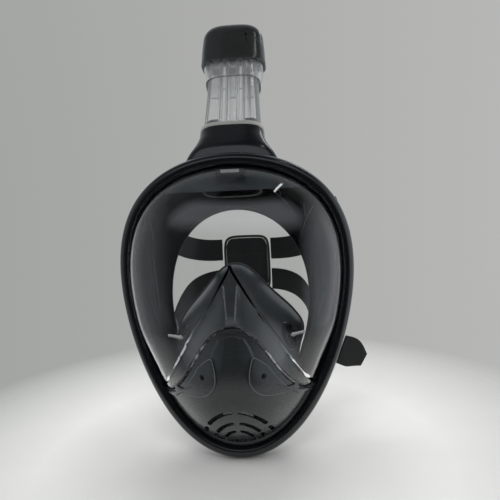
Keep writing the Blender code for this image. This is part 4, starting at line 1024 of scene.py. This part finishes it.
def make_leaf(side, hand):
    top = [np.array(beside_arch(x, -0.0042)) for x in np.linspace(0.0290, 0.0525, 40)]
    rest = finer(np.array([top[-1]] + LEAF + [top[0]]), 9)[1:-1]
    outline = np.concatenate([top, rest])
    middle = np.array(LEAF_MIDDLE)
    rows = []
    for share, sunk in (
        (1.0, 0.0009), (0.992, 0.0002), (0.975, 0.0), (0.9, 0.0), (0.75, 0.0), (0.5, 0.0), (0.25, 0.0)
    ):
        points = middle + (outline - middle) * share
        rows.append(on_shell(side * points[:, 0], points[:, 1], LEAF_RISE - 0.0008 - sunk))
    tip = on_shell(side * middle[0], middle[1], LEAF_RISE - 0.0008)
    plate = lattice(f"chin_side_plate_{hand}_fine", rows, CHIN_GREY, tip=tip, out=FORWARD)
    thicken(plate, 0.0009)
    # A thin paler satin-grey bead round the plate's edge: a painted highlight along its outline.
    edge = on_shell(side * outline[:, 0], outline[:, 1], LEAF_RISE - 0.0009)
    join(plate, tube_along(f"leaf_painted_highlight_bead_{hand}", edge, 0.0004, SATIN_GREY, sides=8, closed=True))
    x, z = side * CHIN_SCREW[0], CHIN_SCREW[1]
    out = shell_normal(x, z)
    place = facing(out, Vector(on_shell(x, z)) + out * 0.0014)
    carve(plate, bar(f"leaf_hole_{hand}", 0.0021, 0.008, place, CHIN_GREY, 32))
    show(plate, "root", "chin_grey", f"chin_side_plate_{hand}")
    screw = cross_screw(f"chin_screw_{hand}_fine", place, 0.0018, 0.0004, 0.0010, 0.0016, BLACK_STEEL)
    show(screw, "root", "steel", f"chin_screw_{hand}")


# ---- skirt and nose pocket ----------------------------------------------------------------------
# The skirt's wall, as (share of the way from the frame to the opening, depth behind the frame).
SKIRT_PROFILE = [
    (0.00, SKIRT_FLANGE), (0.05, 0.0060), (0.16, 0.0150), (0.38, 0.0240), (0.68, 0.0290), (0.90, 0.0310),
    (1.00, 0.0300),
]
# Crests of the skirt's soft folds, as (frame angle in degrees, share of the way to the opening).
FOLDS = [
    [(18, 0.29), (26, 0.41), (37, 0.57)], [(23, 0.20), (26, 0.41)], [(44, 0.09), (46, 0.41), (49, 0.68)],
    [(39, 0.21), (46, 0.44)], [(45, 0.65), (51, 0.80)], [(-50, 0.06), (-60, 0.29)],
    [(-66, 0.29), (-79, 0.40), (-94, 0.41)], [(-89, 0.16), (-101, 0.26)], [(88, 0.30), (100, 0.50)],
]


def opening_edge(phi):
    middle, half = (OPENING_TOP + OPENING_BOTTOM) / 2, (OPENING_TOP - OPENING_BOTTOM) / 2
    c = np.cos(phi)
    return OPENING_HALF_WIDTH * np.sin(phi) * (1 + 0.10 * c), middle + half * c


def skirt_point(phi, mix, depth):
    ax, az = egg(phi, SKIRT_INSET)
    bx, bz = opening_edge(phi)
    x, z = ax + (bx - ax) * mix, az + (bz - az) * mix
    bow = 0.010 * mix * (bx / OPENING_HALF_WIDTH) ** 2
    return np.stack([x, plane(x, z) + depth + bow, z], -1)


def skirt_depth(mix):
    knots = finer_values(SKIRT_PROFILE, 8)
    return np.interp(mix, knots[:, 0], knots[:, 1])


def fold_crests():
    """Glossy creases where the skirt's wall folds, thinning out at both ends; their paler colour is a painted
    highlight.
    """
    crests = []
    for k, route in enumerate(FOLDS):
        degrees, mix = finer_values(route, 24 // (len(route) - 1)).T
        points = skirt_point(np.radians(degrees), mix, skirt_depth(mix) - 0.0002)
        taper = np.sin(np.linspace(0.06, 0.97, len(points)) * math.pi) ** 0.7
        crests.append(tube_along(f"fold_{k}", points, 0.0010, FOLD_SHINE, sides=12, radii=taper))
    return crests


def make_skirt(count=240):
    phi = np.arange(count) * 2 * math.pi / count
    knots = finer_values(SKIRT_PROFILE, 8)
    rows = [rim(phi, FLANGE_OUT, SKIRT_FLANGE)] + [skirt_point(phi, mix, depth) for mix, depth in knots]
    skirt = lattice("face_skirt_fine", rows, BLACK_SILICONE, out=FORWARD, sharp=60)
    thicken(skirt, SKIRT_THICK)
    bead = tube_along("skirt_bead", skirt_point(phi, 1.0, 0.0308), 0.0015, BLACK_SILICONE, closed=True)
    window = lattice("snout_window", snout_rows(0.0006), BLACK_SILICONE, ends=True)
    carve(skirt, window)
    show(join(skirt, bead, *fold_crests()), "root", "black_silicone", "face_skirt")


# Half of the nose pocket's edge, as (x, z).
CUP_EDGE = [
    (0.000, 0.034), (0.012, 0.029), (0.030, 0.008), (0.047, -0.012), (0.056, -0.029),
    (0.0525, -0.046), (0.0440, -0.067), (0.025, -0.088), (0.000, -0.095),
]
CUP_MIDDLE_Z, CUP_THICK = -0.040, 0.0016
CUP_RIM_DEPTH = [(-0.095, 0.012), (-0.060, 0.019), (-0.020, 0.022), (0.010, 0.014), (0.033, 0.006)]
PURGE_OUT, PURGE_CENTRE = Vector((0, -0.86, -0.51)), Vector((0, -0.0275, -0.0790))


def cup_outline(count):
    half = np.array(CUP_EDGE)
    ring = np.concatenate([half, half[-2:0:-1] * (-1, 1)])
    size = len(ring)
    lengths = np.linalg.norm(np.roll(ring, -1, 0) - ring, axis=1)
    found = []
    for k in range(count):
        run, i = lengths.sum() * k / count, 0
        while run > lengths[i]:
            run -= lengths[i]
            i += 1
        found.append(between(*(ring[(i + j) % size] for j in (-1, 0, 1, 2)), run / lengths[i]))
    return np.array(found)


def cup_points(outline, share):
    x, z = outline[:, 0] * share, CUP_MIDDLE_Z + (outline[:, 1] - CUP_MIDDLE_Z) * share
    edge = through(CUP_RIM_DEPTH, z) + 6.0 * x * x
    ahead = shell_y(x, z) + 0.0075
    return np.stack([x, edge + (1 - share**3.2) ** (1 / 1.9) * (ahead - edge), z], -1)


def valve_place(side):
    return facing((side * 0.88, -0.34, 0.33), (side * 0.0428, -0.0088, -0.0238))


def make_pocket():
    outline = cup_outline(200)
    shares = [1.0, 0.998, 0.994, 0.987, 0.975] + list(np.linspace(0.96, 0.05, 40))
    rows = [cup_points(outline, share) for share in shares]
    tip = cup_points(np.array([(0.0, CUP_MIDDLE_Z)]), 0.0)[0]
    cup = lattice("nose_pocket_fine", rows, SMOKY, tip=tip, out=FORWARD, sharp=60)
    thicken(cup, CUP_THICK)
    holes = [bar(f"inhale_port_{hand}", 0.0113, 0.030, valve_place(side), SMOKY) for hand, side in SIDES]
    holes.append(bar("purge_port", 0.0143, 0.044, facing(PURGE_OUT, PURGE_CENTRE), SMOKY))
    carve(cup, *holes)
    edge = cup_points(outline, 1.0) + np.array((0, 0.0008, 0))
    bead = tube_along("pocket_bead", edge, 0.0012, SMOKY, closed=True)
    show(join(cup, bead), "root", "smoky_silicone", "nose_pocket")


def valve_seat(name, place, radius, thick, hole_radius, hole_ring, material):
    half = thick / 2
    profile = [
        (0, half), (radius - 0.0020, half), (radius - 0.0016, half + 0.0004),
        (radius - 0.0004, half + 0.0004), (radius, half), (radius, -half), (0, -half),
    ]
    seat = lathe(name, profile, place, material, 64)
    holes = [bar(f"{name}_stem", 0.0015, thick * 3, place, material, 24)]
    for k in range(6):
        angle = 2 * math.pi * k / 6
        where = place @ Matrix.Translation((hole_ring * math.cos(angle), hole_ring * math.sin(angle), 0))
        holes.append(bar(f"{name}_hole_{k}", hole_radius, thick * 3, where, material, 32))
    return carve(seat, *holes)


def umbrella(name, place, radius, seat_thick, travel, tail):
    """A silicone flap on the -Z side of its seat, with a pull tail of that length on the other side."""
    under = -seat_thick / 2
    top = seat_thick / 2 + travel
    profile = [
        (0, top + tail), (0.0008, top + tail - 0.0002), (0.0011, top + tail - 0.0012),
        (0.0013, top + 0.0018), (0.0020, top + 0.0006), (0.0011, top + 0.0003), (0.0011, under - 0.0008),
        (radius * 0.7, under - 0.0004), (radius * 0.97, under - 0.0003), (radius, under - 0.0005),
        (radius * 0.98, under - 0.0009), (radius * 0.6, under - 0.0014), (0, under - 0.0018),
    ]
    return lathe(name, profile, place, PALE_SILICONE)


def make_valves():
    for hand, side in SIDES:
        place = valve_place(side)
        seat = valve_seat(f"inhale_seat_{hand}_fine", place, 0.0109, 0.0030, 0.0024, 0.0063, MATT_BLACK)
        show(seat, "root", "matt_black", f"inhale_valve_seat_{hand}")
        flap = umbrella(f"inhale_flap_{hand}_fine", place, 0.0094, 0.0030, 0.0012, 0.0115)
        show(flap, f"inhale_flap_{hand}", "pale_silicone", f"inhale_flap_{hand}")
    seat = valve_seat(
        "purge_seat_fine", facing(PURGE_OUT, PURGE_CENTRE), 0.0139, 0.0030, 0.0031, 0.0082, MATT_BLACK
    )
    show(seat, "root", "matt_black", "purge_valve_seat")
    flap = umbrella("purge_flap_fine", facing(-PURGE_OUT, PURGE_CENTRE), 0.0122, 0.0030, 0.0015, 0.0030)
    show(flap, "purge_flap", "pale_silicone", "purge_flap")


# ---- forehead duct ------------------------------------------------------------------------------
def make_baffle():
    lower, count = 0.0945, 80
    phi_end = 0.0
    while egg(phi_end, 0.0146)[1] > lower + 0.0015:
        phi_end += 0.01
    x, z = egg(np.linspace(-phi_end, phi_end, count + 1), 0.0146)
    outline = np.stack([np.append(x, [x[-1], x[0]]), np.append(z, [lower, lower])], -1)
    rows = [[(x, plane(x, z) + depth, z) for x, z in outline] for depth in (-0.0026, -0.0010)]
    plate = lattice("duct_baffle_fine", rows, SATIN_GREY, ends=True)
    round_off(plate, 0.0004)
    show(plate, "root", "satin_grey", "duct_baffle")
    centre = Vector((0, plane(0, 0.1090) - 0.0026 - 0.0019, 0.1086))
    catch = block(
        "top_catch_fine", (0.0230, 0.0030, 0.0056), Matrix.Translation(centre), MATT_BLACK, bevel=0.0005
    )
    notch = block(
        "catch_notch", (0.0160, 0.0100, 0.0040), Matrix.Translation(
            centre - Vector((0, 0, 0.0022))
        ), MATT_BLACK
    )
    carve(catch, notch)
    pad = block(
        "catch_pad", (0.0150, 0.0008, 0.0026), Matrix.Translation(centre + Vector((0, -0.0015, 0.0014))),
        PALE_PLASTIC, bevel=0.0002,
    )
    show(join(catch, pad), "root", "pale_plastic", "top_catch")


# ---- snorkel ------------------------------------------------------------------------------------
def tube_half(s):
    t = np.clip(s / TUBE_TOP, 0, 1)
    return (
        TUBE_HALF_WIDTH + (TUBE_TOP_HALF_WIDTH - TUBE_HALF_WIDTH) * t,
        TUBE_HALF_DEPTH + (TUBE_TOP_HALF_DEPTH - TUBE_HALF_DEPTH) * t,
    )


BEYOND, HALF_PARTITION = 0.004, 0.0008
SEAL_ENDS, SEAL_FIT = (0.0062, 0.0068, 0.0122, 0.0128), 0.0003


def side_channel(s):
    """(half width, half depth, middle) of a side channel at s along the snorkel."""
    wide, deep = tube_half(s)
    first, last = PARTITION_X + HALF_PARTITION, wide - TUBE_WALL
    return (last - first) / 2, deep - TUBE_WALL, (first + last) / 2


def make_tube():
    stations = np.append(-SPIGOT, np.linspace(0.0, TUBE_TOP, 25))
    rows = [section_at(s, *tube_half(s)) for s in stations]
    tube = lattice("snorkel_tube_fine", rows, TUBE_CLEAR, ends=True)
    channels = []
    for side in (-1, 0, 1):
        rows = []
        for s in np.append(-SPIGOT - BEYOND, np.linspace(0.0, TUBE_TOP + BEYOND, 25)):
            width, deep, middle = side_channel(s)
            width = width if side else PARTITION_X - HALF_PARTITION
            rows.append(section_at(s, width, deep, side * middle, count=64))
        channels.append(lattice(f"channel_{side}", rows, TUBE_CLEAR, ends=True))
    show(carve(tube, *channels), "snorkel", "clear", "snorkel_tube")
    for hand, side in SIDES:
        rows = []
        for s in SEAL_ENDS:
            width, deep, middle = side_channel(s)
            grow = -0.0004 if s in (SEAL_ENDS[0], SEAL_ENDS[-1]) else 0.0
            rows.append(section_at(s, width - SEAL_FIT + grow, deep - SEAL_FIT + grow, side * middle))
        plug = lattice(f"channel_seal_{hand}", rows, MATT_BLACK, ends=True)
        rows = [section_at(s, 0.0055, 0.0098, side * (PARTITION_X + 0.0085)) for s in (0.0, 0.014)]
        hollow = lattice(f"channel_seal_hollow_{hand}", rows, MATT_BLACK, ends=True)
        show(carve(plug, hollow), "snorkel", "matt_black")


def sleeve(name, stations, wall, material, per=6):
    keys = finer_values(stations, per)
    outer = [section_at(s, w, d, 0, f) for s, w, d, f in keys]
    inner = [section_at(s, w - wall, d - wall, 0, f) for s, w, d, f in keys]
    return lattice(name, outer + inner[::-1], material, wrap=True, sharp=40)


def make_snorkel():
    make_tube()
    stations = [
        (0.0004, 0.0279, 0.0165, 0), (0.0014, 0.0284, 0.0170, 0),
        (0.0046, 0.0284, 0.0170, 0), (0.0058, 0.0275, 0.0161, 0),
    ]
    gasket = sleeve("tube_gasket_fine", stations, 0.0011, GREY_SILICONE)
    show(gasket, "snorkel", "grey_silicone", "tube_gasket")
    wall = 0.0018
    wide, deep = tube_half(0.070)
    collar = (wide + GAP + wall, deep + GAP + wall)
    top = (CAP_HALF_WIDTH - 0.0026, CAP_HALF_DEPTH - 0.0026)
    chamber = sleeve(
        "valve_chamber_fine",
        [
            (0.0650, *collar, 0), (0.0700, *collar, 0), (0.0805, 0.0275, 0.0180, -0.0014),
            (0.0870, *top, -CAP_SHIFT), (CHAMBER_TOP, *top, -CAP_SHIFT),
        ],
        wall, TUBE_CLEAR,
    )
    show(chamber, "snorkel", "clear", "valve_chamber")
    make_cap()


def slanted(loop, s, share):
    """The loop moved along the snorkel so that its front comes lower and its back higher."""
    point, up, ahead = snorkel_frame(s)
    return loop - np.outer((loop - point) @ ahead, up) * share * CAP_EDGE_SLANT / CAP_HALF_DEPTH


def make_cap():
    wall, round_part, roof_from = 0.0020, 0.018, CAP_TOP - 0.012
    stations = [(CAP_EDGE, 0.994), (CAP_EDGE + 0.0008, 1.0)]
    stations += [(s, 1.0 - 0.015 * (s - CAP_EDGE) / (0.104 - CAP_EDGE)) for s in (0.094, 0.098, 0.101, 0.104)]
    stations.append((0.110, 0.973))
    for t in np.linspace(0.0, 0.96, 22):
        angle = t * math.pi / 2
        stations.append((CAP_TOP - round_part * (1 - math.sin(angle)), 0.96 * math.cos(angle) ** 0.45))
    outer, inner = [], []
    for s, share in stations:
        slant = max(0.0, 1 - (s - CAP_EDGE) / (0.104 - CAP_EDGE))
        wide, deep = CAP_HALF_WIDTH * share, CAP_HALF_DEPTH * share
        outer.append(slanted(section_at(s, wide, deep, 0, -CAP_SHIFT), s, slant))
        lowered = s - wall if s > roof_from else s
        inner.append(slanted(section_at(lowered, wide - wall, deep - wall, 0, -CAP_SHIFT), lowered, slant))
    cap = lattice("snorkel_cap_fine", outer[::-1] + inner, CAP_BLACK, ends=True, sharp=50)
    point, up, ahead = snorkel_frame(0.110)
    slit_at = point + np.array((0.0135, 0, 0)) + ahead * (CAP_HALF_DEPTH - CAP_SHIFT)
    windows = [
        block("cap_slot", (0.0020, 0.0100, 0.0120), basis(up, ahead, slit_at), CAP_BLACK, bevel=0.0009)
    ]
    for side in (-1, 1):
        at = point + np.array((side * 0.0115, 0, 0)) - ahead * (CAP_HALF_DEPTH + CAP_SHIFT)
        windows.append(block(
            f"cap_intake_{side}", (0.0100, 0.0110, 0.0080), basis(up, ahead, at), CAP_BLACK, bevel=0.0012
        ))
    show(carve(cap, *windows, sharp=50), "snorkel", "gloss_black", "snorkel_cap")


def carried_nodes():
    """CAD nodes whose shape is right, given their real finish."""
    finishes = {
        "valve_deck": MATT_BLACK, "float_cage": SATIN_GREY, "float": FOAM, "float_seal": GREY_SILICONE,
        "exhaust_flap_left": PALE_SILICONE, "exhaust_flap_right": PALE_SILICONE,
    }
    for name, material in finishes.items():
        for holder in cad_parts[name].material_slots:
            holder.material = material


# ---- head harness -------------------------------------------------------------------------------
def anchor_place(level, side):
    """X along the frame, Z back and square to it, Y out from the mask; the pin's middle is at 0."""
    phi = side * ANCHORS[level]
    here, ahead, behind = (Vector(rim(phi + step, 0.0058, PIN_DEPTH)) for step in (0, 0.04, -0.04))
    along = (ahead - behind).normalized() * side
    back = Vector((-2 * FRAME_BOW * here.x / 0.099**2, 1, -FRAME_TILT))
    back = (back - along * back.dot(along)).normalized()
    return basis(back.cross(along).normalized(), back, here)


def make_anchor(level, hand, side):
    place, name = anchor_place(level, side), f"{level}_{hand}"
    across = place @ QUARTER_TURN
    size = (ANCHOR_LONG, 0.0100, 0.0105)
    bracket = block(f"anchor_{name}_fine", size, moved(place, 0, 0, -0.0012), MATT_BLACK, bevel=0.0012)
    size = (ANCHOR_LONG - 2 * ANCHOR_EAR, 0.03, 0.0105)
    bay = block(f"bay_{name}", size, moved(place, 0, 0, 0.0008), MATT_BLACK)
    carve(bracket, bay, bar(f"anchor_hole_{name}", PIN_BORE, 0.05, across, MATT_BLACK, 32))
    show(bracket, "root", "matt_black", f"strap_anchor_{name}")
    half = (ANCHOR_LONG - 0.0010) / 2
    profile = [
        (0, half), (PIN_RADIUS * 0.7, half - 0.0001), (PIN_RADIUS, half - 0.0005),
        (PIN_RADIUS, 0.0005 - half), (PIN_RADIUS * 0.7, 0.0001 - half), (0, -half),
    ]
    show(lathe(f"pin_{name}_fine", profile, across, STEEL, 32), "root", "steel", f"strap_pin_{name}")
    make_clip(name, place)


def make_clip(name, place):
    """The buckle on the anchor's pin, with a window for the strap and finger ridges."""
    across = place @ QUARTER_TURN
    size = (CLIP_WIDE, CLIP_THICK, CLIP_LONG)
    middle = moved(place, 0, 0, CLIP_LONG / 2 + 0.0005)
    clip = block(f"clip_{name}_fine", size, middle, RING_BLACK, bevel=0.0013)
    barrel = bar(f"barrel_{name}", BARREL_RADIUS, CLIP_WIDE, across, RING_BLACK)
    bore = bar(f"bore_{name}", PIN_BORE, 0.05, across, RING_BLACK, 32)
    size = (CLIP_WIDE - 0.0040, 0.02, 0.0058)
    window = block(f"window_{name}", size, moved(place, 0, 0, CLIP_LONG - 0.0057), RING_BLACK, bevel=0.0006)
    size = (CLIP_WIDE - 0.0070, 0.0010, 0.0008)
    ridges = [
        block(f"ridge_{name}_{k}", size, moved(place, 0, CLIP_THICK / 2, z), RING_BLACK)
        for k, z in enumerate((0.0056, 0.0074, 0.0092))
    ]
    carve(clip, barrel, operation="UNION")
    carve(clip, bore, window, *ridges)
    show(clip, f"clip_{name}", "gloss_black", f"strap_clip_{name}")


def pad_y(x):
    return HEAD_BACK - PAD_CURVE * x * x


def strap_line(level, side, count):
    """(points, width directions) of a strap from its clip round the head to the pad."""
    place = anchor_place(level, side)
    start = place @ Vector((0, 0, CLIP_LONG + 0.0011))
    turn = place.to_3x3()
    back, along = turn @ Vector((0, 0, 1)), turn @ Vector((1, 0, 0))
    if along.z < 0:
        along = -along
    x = side * (PAD_HALF_WIDTH + 0.0022)
    end = Vector((x, pad_y(x), STRAP_END_Z[level]))
    outwards = Vector((side, -2 * PAD_CURVE * abs(x), 0)).normalized()
    a, b = start + back * LEAVE, end + outwards * ARRIVE
    points, widths = [], []
    for k in range(count + 1):
        t = k / count
        points.append((1 - t) ** 3 * start + 3 * (1 - t) ** 2 * t * a + 3 * (1 - t) * t * t * b + t**3 * end)
        widths.append(along.lerp(Vector((0, 0, 1)), min(1.0, 1.6 * t)).normalized())
    return points, widths


def ribbon(name, points, widths, wide):
    """A webbing band with round edges; its UV map runs in metres across and along it."""
    points, widths = [Vector(p) for p in points], [Vector(w) for w in widths]
    across_count, runs = 12, [0.0]
    for a, b in zip(points, points[1:]):
        runs.append(runs[-1] + (b - a).length)
    work = bmesh.new()
    layer = work.loops.layers.uv.new("weave")
    rows, places = [], []
    for k, (point, width) in enumerate(zip(points, widths)):
        before, after = points[max(k - 1, 0)], points[min(k + 1, len(points) - 1)]
        ahead = (after - before).normalized()
        across = (width - ahead * width.dot(ahead)).normalized()
        normal = ahead.cross(across)
        size = wide[k] if hasattr(wide, "__len__") else wide
        row, place = [], []
        for i in range(across_count):
            u = -0.5 + i / (across_count - 1)
            squeeze = 1 - 0.45 * max(0.0, (abs(u) - 0.44) / 0.06) ** 2
            row.append((point + across * size * u, normal * STRAP_THICK / 2 * squeeze))
            place.append(u * size)
        loop = [p + n for p, n in row] + [p - n for p, n in reversed(row)]
        rows.append([work.verts.new(p) for p in loop])
        places.append(place + place[::-1])
    total = 2 * across_count
    for k in range(len(rows) - 1):
        for i in range(total):
            j = (i + 1) % total
            face = work.faces.new((rows[k][i], rows[k][j], rows[k + 1][j], rows[k + 1][i]))
            corners = ((k, i), (k, j), (k + 1, j), (k + 1, i))
            for loop, (row, column) in zip(face.loops, corners):
                loop[layer].uv = (places[row][column], runs[row])
    work.faces.new(rows[0])
    work.faces.new(rows[-1])
    return finish_mesh(name, work, WEBBING, sharp=60)


def stitches(name, rows):
    """Short raised thread stitches from (start, end, outward) triples."""
    pieces = []
    for k, (start, end, out) in enumerate(rows):
        start, end, out = Vector(start), Vector(end), Vector(out)
        middle = (start + end) / 2 + out * 0.00025
        points = [
            start - out * 0.0002, start.lerp(middle, 0.6), middle, end.lerp(middle, 0.6), end - out * 0.0002
        ]
        pieces.append(tube_along(f"{name}_{k}", points, 0.00022, THREAD, sides=6))
    return join(pieces[0], *pieces[1:])


LAP_LONG = 0.030  # how far a strap runs back over itself at the clip


def make_strap(level, hand, side):
    """A strap from the pad to its clip, round the clip's bar and back on itself, where it is sewn down."""
    name = f"{level}_{hand}"
    place = anchor_place(level, side)
    turn = place.to_3x3()
    points, widths = strap_line(level, side, 70)
    out = turn @ Vector((0, 1, 0))
    if out.x * side < 0:
        out = -out
    away = 1 if (turn @ Vector((0, 1, 0))).x * side > 0 else -1
    lap = STRAP_THICK + 0.0001
    fold_z = CLIP_LONG - 0.0020
    round_bar = [
        place @ Vector((0, away * 0.0033 * math.sin(a), fold_z - 0.0033 * math.cos(a)))
        for a in np.linspace(-math.pi / 2, math.pi / 2, 11)
    ]
    near_in = place @ Vector((0, -away * 0.0031, CLIP_LONG + 0.0018))
    near_out = place @ Vector((0, away * 0.0036, CLIP_LONG + 0.0020))
    base = [p for p in points if (p - points[0]).length > 0.0085]
    base_w = widths[len(points) - len(base):]
    lead = place @ Vector((0, -away * 0.0016, CLIP_LONG + 0.0055))
    lapped = []
    for p in base:
        if (p - points[0]).length < LAP_LONG:
            lapped.append(p + out * lap)
    path = base[::-1] + [lead, near_in] + round_bar + [near_out] + lapped
    along = widths[0]
    all_widths = base_w[::-1] + [along] * (2 + len(round_bar) + 1) + base_w[: len(lapped)]
    strap = ribbon(f"strap_{name}_fine", path, all_widths, STRAP_WIDE)
    rows = []
    for row in (2, len(lapped) - 3):
        centre, width = lapped[row], base_w[row]
        ahead = (lapped[row + 1] - lapped[row - 1]).normalized()
        for k in range(9):
            here = centre + width * STRAP_WIDE * (-0.44 + 0.11 * k) + out * (STRAP_THICK / 2)
            rows.append((here, here + width * 0.0020 + ahead * 0.0004, out))
    join(strap, stitches(f"stitch_{name}", rows))
    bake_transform(strap)
    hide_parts(f"strap_{name}")
    return strap


# The free strap ends, left (-1) and right (1): places along each, and its width there.
TAIL_ROUTE = {
    -1: [(0.0850, 0.0400, -0.0500), (0.0905, 0.0500, -0.0495), (0.0925, 0.0640, -0.0470)],
    1: [(0.0900, 0.0400, -0.0530), (0.1010, 0.0460, -0.0590), (0.1115, 0.0510, -0.0672)],
}
TAIL_WIDTHS = {-1: (0.0238, 0.0218, 0.0108), 1: (0.0266, 0.0266, 0.0128)}


def make_tail(hand, side):
    keys = np.array([(side * x, y, z) for x, y, z in TAIL_ROUTE[side]])
    points = finer_values(keys, 12)
    wide = finer_values(TAIL_WIDTHS[side], 12)[:, 0]
    tail = ribbon(f"strap_tail_{hand}_fine", points, [(0, 0, 1)] * len(points), list(wide))
    show(tail, f"clip_lower_{hand}", "webbing", f"strap_tail_{hand}")


def make_slider(hand, side):
    points, widths = strap_line("lower", side, 14)
    along = (points[5] - points[3]).normalized()
    place = basis(along.cross(widths[4]).normalized(), along, points[4])
    size = (STRAP_WIDE + 0.0070, 0.0076, 0.0150)
    slider = block(f"slider_{hand}_fine", size, place, RING_BLACK, bevel=0.0016, segments=4)
    lane = block(f"lane_{hand}", (STRAP_WIDE + 0.0016, 0.0052, 0.0300), place, RING_BLACK)
    size = (STRAP_WIDE - 0.0020, 0.0010, 0.0010)
    grips = [
        block(f"grip_{hand}_{k}", size, moved(place, 0, y, z), RING_BLACK)
        for k, (y, z) in enumerate([(y, z) for y in (-0.0038, 0.0038) for z in (-0.0036, 0.0, 0.0036)])
    ]
    show(carve(slider, lane, *grips), f"slider_{hand}", "gloss_black", f"strap_slider_{hand}")


def pad_outline(count, shrink=0.0):
    """The pad's rounded outline as (x, z)."""
    half_x, half_z = PAD_HALF_WIDTH - shrink, (PAD_HIGH - PAD_LOW) / 2 - shrink
    middle = (PAD_HIGH + PAD_LOW) / 2
    a, b = rounded(half_x, half_z, count, 6.0)
    return a, middle + b


def make_pad():
    """Padded plate at the back of the head: swollen by simulation between its sewn edge and channels."""
    middle, half_thick = (PAD_HIGH + PAD_LOW) / 2, 0.0009
    rows = []
    face = [(0.05, 1), (0.35, 1), (0.65, 1), (0.9, 1), (0.98, 0.6)]
    for share, depth in face + [(share, -depth) for share, depth in face[::-1]]:
        x, z = pad_outline(96, 0.0012)
        x, z = x * share, middle + (z - middle) * share
        rows.append(np.stack([x, pad_y(x) + depth * half_thick, z], -1))
    pad = lattice("back_pad_fine", rows, KNIT, ends=True, sharp=180)
    modify(pad, "REMESH", mode="VOXEL", voxel_size=0.0011)
    settle(pad)
    channels = (PAD_LOW + 0.0215, PAD_HIGH - 0.0215)
    swell(pad, channels)
    pad.data.shade_smooth()
    pad.data.materials.clear()
    pad.data.materials.append(KNIT)
    x, z = pad_outline(160, 0.0006)
    binding = tube_along(
        "pad_binding", np.stack([x, pad_y(x), z], -1), 0.0014, BINDING, closed=True, sides=12
    )
    rows = []
    for z in channels:
        for k in range(17):
            x = (-0.94 + 0.11 * k + 0.03) * (PAD_HALF_WIDTH - 0.0025)
            for face, out in ((-1, (0, -1, 0)), (1, (0, 1, 0))):
                y = pad_y(x) + face * (half_thick + 0.0001)
                rows.append(((x, y, z), (x + 0.0021, y, z), out))
    stitching = stitches("pad_stitch", rows)
    join(pad, binding, stitching)
    show(pad, "root", "webbing", "back_pad")


# How far the padding may swell, and how near the edge and the channels it is held.
PUFF_LIMIT, SEWN_EDGE, SEWN_LINE = 0.0013, 0.0016, 0.0009
PRESSURE, CLOTH_FRAMES = 4, 20


def swell(pad, channels):
    """A short cloth simulation with pressure; the sewn edge and channels stay put."""
    edge_x, edge_z = pad_outline(360, 0.0012)
    co = np.array([v.co for v in pad.data.vertices])
    to_edge = np.min(np.hypot(co[:, 0, None] - edge_x, co[:, 2, None] - edge_z), axis=1)
    held = pad.vertex_groups.new(name="held")
    for index in range(len(co)):
        near_channel = min(abs(co[index, 2] - z) for z in channels)
        if to_edge[index] < SEWN_EDGE or near_channel < SEWN_LINE:
            held.add([index], 1.0, "REPLACE")
    cloth = modify(pad, "CLOTH")
    cloth.settings.quality = 6
    cloth.settings.mass = 0.2
    cloth.settings.tension_stiffness = cloth.settings.compression_stiffness = 6
    cloth.settings.bending_stiffness = 0.3
    cloth.settings.use_pressure = True
    cloth.settings.uniform_pressure_force = PRESSURE
    cloth.settings.effector_weights.gravity = 0
    cloth.settings.vertex_group_mass = "held"
    cloth.point_cache.frame_start, cloth.point_cache.frame_end = 1, CLOTH_FRAMES
    scene = bpy.context.scene
    for step in range(1, CLOTH_FRAMES + 1):
        scene.frame_set(step)
    graph = bpy.context.evaluated_depsgraph_get()
    moved = np.array([v.co for v in pad.evaluated_get(graph).data.vertices])
    pad.modifiers.clear()
    scene.frame_set(1)
    shift = moved - co
    size = np.linalg.norm(shift, axis=1)
    shift *= (np.minimum(size, PUFF_LIMIT) / np.maximum(size, 1e-9))[:, None]
    pad.data.vertices.foreach_set("co", (co + shift).ravel())
    modify(pad, "SUBSURF", levels=1, render_levels=1)
    settle(pad)


def make_harness():
    for hand, side in SIDES:
        for level in ANCHORS:
            make_anchor(level, hand, side)
            make_strap(level, hand, side)
        make_slider(hand, side)
        make_tail(hand, side)
    make_pad()


make_camera()
make_studio()
make_frame()
make_clamp()
make_button()
make_lens()
nose_ribs()
make_chin_cover()
for hand, side in SIDES:
    make_leaf(side, hand)
make_skirt()
make_pocket()
make_valves()
make_baffle()
make_snorkel()
carried_nodes()
make_harness()
